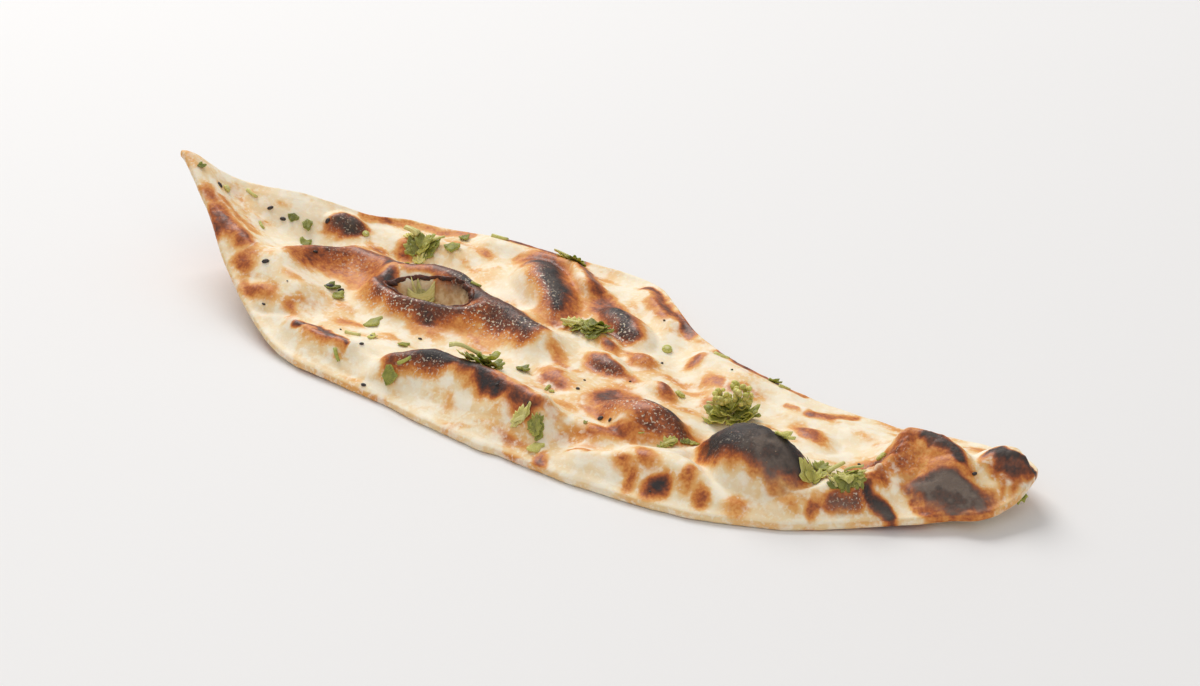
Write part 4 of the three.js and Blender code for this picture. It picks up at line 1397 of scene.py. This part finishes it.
def leaf_part(at, leaf):
    length, tilt, turn = leaf["length"], leaf["tilt"], leaf["turn"]
    shape = (length, leaf["lobes"], LEAF_TEETH, leaf["spread"], LEAF_CURL * length, leaf["lean"])
    top, across, along = leaf_fan(*shape, LEAF_COLUMNS, LEAF_RINGS)
    top = tilted_and_turned(top - [LEAF_FOOT * length, 0, 0], tilt, turn)
    sunk = LEAF_FOOT * length * math.sin(math.radians(tilt))
    top = draped(top, (at[0] + leaf["x"], at[1] + leaf["y"]), leaf["lift"] + sunk)
    faces, rim = fan_faces(LEAF_COLUMNS, LEAF_RINGS), fan_rim(LEAF_COLUMNS, LEAF_RINGS)
    points, faces = thick_sheet(top, faces, rim, LEAF_THICK)
    values = {"across": np.tile(across, 2), "along": np.tile(along, 2), "tint": leaf["tint"]}
    return points, faces, 0, values


def stalk_part(at, x, y, turn, length, radius, tilt, lift, tint):
    points, faces, around, cut = stalk(length, radius, *STALK_SHAPE)
    points = draped(tilted_and_turned(points, tilt, turn), (at[0] + x, at[1] + y), lift + radius)
    return points, faces, 1, {"around": around, "cut": cut, "tint": tint}


def head_parts(at):
    """The buds on the tuft's heads, each with a slight painted highlight that makes one side paler"""
    draw = np.random.default_rng(HEAD_SEED)
    middle = np.array([*at, surface_at(at[0] * MM, at[1] * MM)[0].z / MM])
    parts = []
    for centre, half_width, half_height, count in HEADS:
        for _ in range(count):
            ray = draw.normal(size=3)
            ray = ray / np.linalg.norm(ray) * [half_width, half_width, half_height]
            points, faces, around = knob(draw.uniform(*BUD))
            # along is set to how far round the bud, which paints a highlight on one side of it
            values = {"along": around, "tint": draw.uniform(*BUD_TINT)}
            parts.append((points + middle + centre + ray, faces, 0, values))
    return parts


def make_sprig(name, sprig):
    parts = [leaf_part(sprig["at"], leaf) for leaf in sprig["leaves"]]
    parts += [stalk_part(sprig["at"], *stem) for stem in sprig["stalks"]]
    if name == "coriander_by_dark_bubble":
        parts += head_parts(sprig["at"])
    piece = join_parts(name + "_leaves", parts, [leaf_green, stalk_green])
    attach(piece, "root")
    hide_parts(name)
    return piece


sprig_pieces = [make_sprig(name, sprig) for name, sprig in SPRIGS.items()]
print(len(sprig_pieces), "sprigs made")

# %% [markdown]
# The small chopped bits lie singly. They repeat, so Geometry Nodes set them: each point carries its kind,
# size, turn, slope and tint, and the tree picks one of the shapes for it, lays it on the slope and turns
# it.

# %% Shapes of the small bits
chip_shapes = bpy.data.collections.new("chip shapes")
# Leaf chips: lobes, teeth, spread, curl, lean, all one unit long
CHIP_FANS = [(2, 5, 0.9, 0.12, 0.3), (3, 7, 0.6, 0.2, -0.4), (1, 3, 1.1, 0.08, 0.5)]
CHIP_COLUMNS = 9
CHIP_RINGS = 3
CHIP_THICK = 0.09
# Bits of stalk: length, radius, sides, steps and bend
SLIVER_STALK = (1.0, 0.14, 8, 4, 0.16)
SLICE_STALK = (0.24, 0.5, 14, 1, 0)


def keep_shape(order, points, faces, values):
    """A chip shape, about one unit long and centred, kept out of the scene in the collection"""
    centred = points - [(points[:, 0].min() + points[:, 0].max()) / 2, 0, 0]
    shape = plain_mesh(f"chip_{order}", centred, faces, values)
    bpy.context.collection.objects.unlink(shape)
    chip_shapes.objects.link(shape)


for order, chip_fan in enumerate(CHIP_FANS):
    top, across, along = leaf_fan(1.0, *chip_fan, CHIP_COLUMNS, CHIP_RINGS)
    fan = fan_faces(CHIP_COLUMNS, CHIP_RINGS)
    points, faces = thick_sheet(top, fan, fan_rim(CHIP_COLUMNS, CHIP_RINGS), CHIP_THICK)
    keep_shape(order, points, faces, {"across": np.tile(across, 2), "along": np.tile(along, 2)})
points, faces, around_value, cut = stalk(*SLIVER_STALK)
keep_shape(len(CHIP_FANS), points, faces, {"around": around_value, "cut": cut})
points, faces, around_value, cut = stalk(*SLICE_STALK)
upright = np.column_stack([points[:, 1], points[:, 2], points[:, 0]])
keep_shape(len(CHIP_FANS) + 1, upright, faces, {"around": around_value, "cut": cut})

# %% Where the small bits lie
LEAF_A, LEAF_B, LEAF_C, SLIVER, SLICE = range(5)  # in the order of the shapes
# x, y, length, turn, kind, tint
CHIPS = [
    (-138, 4, 3.2, 60, LEAF_B, 0.1), (-132, 8, 2.8, 20, SLICE, 0.8), (-127, 14, 4.4, -20, SLIVER, 0.8),
    (-112, 16, 3.6, -70, LEAF_A, 0.05), (-107, 17, 5, -50, LEAF_B, 0.2), (-104, 12, 4.4, 80, LEAF_A, 0.2),
    (-117, 6, 3.6, -40, SLIVER, 0.3), (-91, 26, 2.4, 20, SLICE, 0.6), (-79, -7, 5.4, 30, LEAF_B, 0.0),
    (-75, -9, 4.4, 0, LEAF_A, 0.4), (-63, 34, 5, -60, LEAF_A, 0.3), (-66, 45, 5, -40, LEAF_B, 0.2),
    (-54, 47, 5.4, 0, SLIVER, 0.7), (-57, -15, 5.2, -30, LEAF_C, 0.35), (-56, -27, 4.6, 0, SLIVER, 0.9),
    (-50, -25, 3.4, 20, LEAF_A, 0.7), (-55, -36, 4.4, -60, SLIVER, 0.2), (-40, -23, 3.2, -30, LEAF_C, 0.3),
    (-33, -39, 5.6, 20, LEAF_A, 0.3), (-30, -36, 4.4, 30, SLIVER, 0.3), (-38, 11, 3.4, 20, SLIVER, 0.4),
    (-3, -16, 5.6, -20, LEAF_B, 0.1), (9, -22, 4.4, -80, SLIVER, 0.2), (22, -47, 4, -50, LEAF_C, 0.8),
    (25, 18, 3.2, 10, SLICE, 0.6), (42, -4, 3.4, 0, SLICE, 0.5), (42, 20, 4.6, 10, SLIVER, 0.8),
    (62, 15, 5, -10, LEAF_B, 0.1), (66, 14, 4, 50, SLIVER, 0.7), (87, -27, 7, -14, LEAF_B, 0.75),
    (108, -10, 3.4, 10, SLICE, 0.4), (111, 8, 5, 0, LEAF_A, 0.5), (148, -2.4, 4.6, -60, LEAF_B, 0.3),
    (-20, -20, 1.6, 10, LEAF_C, 0.2), (-30, -27, 1.8, 40, SLIVER, 0.5), (-72, 22, 1.8, 30, LEAF_C, 0.6),
    (12, -24, 1.8, 0, SLICE, 0.5), (31, -36, 1.4, 60, LEAF_A, 0.2), (47, -33, 1.6, 20, SLIVER, 0.4),
]
CHIP_RISE = 0.25


def points_on_crust(name, places, rise, values):
    """An object of loose points on the crust, each with its normal and the given values"""
    found = [surface_at(x * MM, y * MM) for x, y in places]
    made = plain_mesh(name, [hit + normal * rise * MM for hit, normal in found], [], values)
    up = made.data.attributes.new("up", "FLOAT_VECTOR", "POINT")
    up.data.foreach_set("vector", np.array([normal for hit, normal in found]).ravel())
    return made


def laid_flat(tree):
    """Rotation that lies flat on the crust at a point and is turned by the point's own turn"""
    upright = {"Vector": stored(tree, "up", "FLOAT_VECTOR")}
    flat = add(tree, "FunctionNodeAlignRotationToVector", upright, axis="Z").outputs[0]
    spin = vector(tree, 0.0, 0.0, stored(tree, "turn"))
    return add(tree, "FunctionNodeRotateRotation", {0: flat, 1: spin}, rotation_space="LOCAL").outputs[0]


def chip_tree():
    tree, given = shape_tree("chopped bits", {"Shapes": "group", "Scale": "number", "Material": "material"})
    shapes = {"Collection": given["Shapes"], "Separate Children": True, "Reset Children": True}
    instances = add(tree, "GeometryNodeCollectionInfo", shapes).outputs[0]
    kind = add(tree, "FunctionNodeFloatToInt", {0: stored(tree, "kind")}).outputs[0]
    scale = product(tree, stored(tree, "size"), given["Scale"])
    set_on_points(tree, given, {
        "Points": given["Shape"], "Instance": instances, "Pick Instance": True, "Instance Index": kind,
        "Rotation": laid_flat(tree), "Scale": scale,
    })
    return tree


chip_maker = chip_tree()
for piece_name, kinds_wanted, material in (
    ("coriander_chips", (LEAF_A, LEAF_B, LEAF_C), leaf_green),
    ("coriander_stalk_bits", (SLIVER, SLICE), stalk_green),
):
    chosen = [chip for chip in CHIPS if chip[4] in kinds_wanted]
    values = {
        "size": [chip[2] * MM for chip in chosen], "turn": [math.radians(chip[3]) for chip in chosen],
        "kind": [chip[4] for chip in chosen], "tint": [chip[5] for chip in chosen],
    }
    bits = points_on_crust(piece_name, [chip[:2] for chip in chosen], CHIP_RISE, values)
    grow(bits, chip_maker, {"Shapes": chip_shapes, "Scale": 1.0, "Material": material})
    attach(bits, "root")
for shape in list(chip_shapes.objects):
    bpy.data.objects.remove(shape)

# %% [markdown]
# A few small black seeds and burnt specks dot the bread. A seed is a slightly drawn-out, flattened ball.
# The tree shapes one ball by its length and width, stretches each copy differently from a fixed seed, and
# sinks it a little into the dough.

# %% Black seeds
# x, y, length, turn
SEEDS = [
    (-132.4, 5.6, 2.4, 10), (-119.3, 13.9, 2.2, 60), (-114.4, 13.9, 2.1, 20), (-97.9, -14.7, 2.5, 30),
    (-90.3, -25.7, 1.3, 0), (-102.3, 21.4, 2.2, 80), (-92.2, 2.2, 1.7, 40), (-40.8, -41.8, 1.9, 0),
    (-50.1, -30.1, 1.5, 30), (-50.9, -24.4, 1.6, 0), (-40.2, -14.9, 1.4, 15), (-79.8, -6.6, 3.4, 40),
    (-76.6, -5.6, 2.2, 70), (17.5, -18.8, 1.3, 0), (15.5, -40.5, 1.2, 40), (2.6, -36.9, 1.3, 10),
    (32.1, -30, 2.1, 20), (36, -31.3, 1.4, 60), (15.7, -12.4, 0.9, 0), (28.3, 9.5, 1, 70),
    (17.7, 28.8, 0.9, 0), (102.3, -12.1, 1.1, 0), (133.7, -9, 1.7, 60), (-17, -12, 0.8, 0),
    (50, 12, 0.8, 20), (-61, -26, 0.8, 0), (27, -6, 0.8, 30), (-87, -18, 0.7, 0), (69, -16, 0.8, 0),
    (60, -50, 0.7, 0),
]
SEED_RISE = 0.18
SEED_SHAPE = {"Width share": 0.62, "Flatness": 0.5, "Variety": 0.25}
SEED_DRAW = 3
SEED_TONES = [(0.3, paint(34, 30, 32)), (0.7, paint(72, 62, 60))]


def seed_tree():
    inputs = dict.fromkeys(SEED_SHAPE, "number") | {"Seed": "count", "Material": "material"}
    tree, given = shape_tree("black seeds", inputs)
    ball = add(tree, "GeometryNodeMeshUVSphere", {"Segments": 8, "Rings": 6, "Radius": 0.5}).outputs[0]
    thin = vector(tree, 1.0, given["Width share"], given["Flatness"])
    oval = add(tree, "GeometryNodeTransform", {"Geometry": ball, "Scale": thin}).outputs[0]
    low, high = (calc(tree, operation, 1.0, given["Variety"]) for operation in ("SUBTRACT", "ADD"))
    least, most = vector(tree, 1.0, low, low), vector(tree, 1.0, high, high)
    size = {0: drawn(tree, "FLOAT_VECTOR", least, most, given["Seed"]), "Scale": stored(tree, "size")}
    scale = add(tree, "ShaderNodeVectorMath", size, operation="SCALE").outputs[0]
    inputs = {"Points": given["Shape"], "Instance": oval, "Rotation": laid_flat(tree), "Scale": scale}
    set_on_points(tree, given, inputs)
    return tree


def seed_material():
    material, tree, shader, place = new_material("black_seed")
    wrinkle = grain(tree, place, 0.5, 3.0)
    fill(tree, shader, {
        "Base Color": ramp(tree, wrinkle, SEED_TONES), "Normal": bumped(tree, wrinkle, 0.5, 0.1),
        "Roughness": between(tree, wrinkle, 0.3, 0.7, 0.35, 0.6),
    })
    return material


seed_values = {"size": [s[2] * MM for s in SEEDS], "turn": [math.radians(s[3]) for s in SEEDS]}
seeds = points_on_crust("black_seeds", [s[:2] for s in SEEDS], SEED_RISE, seed_values)
grow(seeds, seed_tree(), SEED_SHAPE | {"Seed": SEED_DRAW, "Material": seed_material()})
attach(seeds, "root")

# %% [markdown]
# Flour that was baked on stays as pale flakes on the dark ridges, and the same flakes also stand in for the
# tiny glints on the blisters there, as painted highlights. The tree strews them over a copy of the crust, as
# thickly as the crust's own flour value says, each a tiny flat stone of its own size and turn.

# %% Flakes of baked-on flour, which are also painted glints
# The flakes are baked-on flour and also painted highlights: glints on the blisters of the dark ridges
FLAKES = {"Density": 4.8e5, "Smallest": 0.1 * MM, "Largest": 0.3 * MM, "Flatness": 0.35}
FLAKE_DRAW = 11
FLAKE_NARROW = 0.8
FLAKE_HEAT = (0.45, 0.75)  # they show only on a crust that took this much heat
FULL_TURN = 6.28
# colours of the flour flakes, which also serve as painted glints
FLAKE_AND_GLINT_TONES = [(0.3, paint(198, 168, 136)), (0.5, paint(158, 126, 100)), (0.7, paint(122, 94, 76))]


def flake_tree():
    inputs = dict.fromkeys(FLAKES, "number") | {"Seed": "count", "Material": "material"}
    tree, given = shape_tree("flour flakes", inputs)
    dark = between(tree, stored(tree, "toasting"), *FLAKE_HEAT)
    # flour on the dark crust sets where the flakes go, both flour and painted glints
    density = product(tree, stored(tree, "flour"), dark, given["Density"])
    bread = {"Mesh": given["Shape"], "Density": density, "Seed": given["Seed"]}
    strewn = add(tree, "GeometryNodeDistributePointsOnFaces", bread)
    ball = add(tree, "GeometryNodeMeshIcoSphere", {"Radius": 1.0, "Subdivisions": 1}).outputs[0]
    flat = vector(tree, 1.0, FLAKE_NARROW, given["Flatness"])
    stone = add(tree, "GeometryNodeTransform", {"Geometry": ball, "Scale": flat}).outputs[0]
    size = drawn(tree, "FLOAT", given["Smallest"], given["Largest"], given["Seed"])
    spin = drawn(tree, "FLOAT_VECTOR", (0, 0, 0), (0, 0, FULL_TURN), given["Seed"])
    turns = {0: strewn.outputs["Rotation"], 1: spin}
    turn = add(tree, "FunctionNodeRotateRotation", turns, rotation_space="LOCAL").outputs[0]
    inputs = {"Points": strewn.outputs[0], "Instance": stone, "Rotation": turn, "Scale": size}
    set_on_points(tree, given, inputs)
    return tree


def flour_and_glint_material():
    material, tree, shader, place = new_material("baked_flour")
    fill(tree, shader, {"Base Color": ramp(tree, grain(tree, place, 1.2), FLAKE_AND_GLINT_TONES), "Roughness": 0.8})
    return material


flakes = bpy.data.objects.new("flour_flakes", crust.data.copy())
bpy.context.collection.objects.link(flakes)
grow(flakes, flake_tree(), FLAKES | {"Seed": FLAKE_DRAW, "Material": flour_and_glint_material()})
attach(flakes, "root")
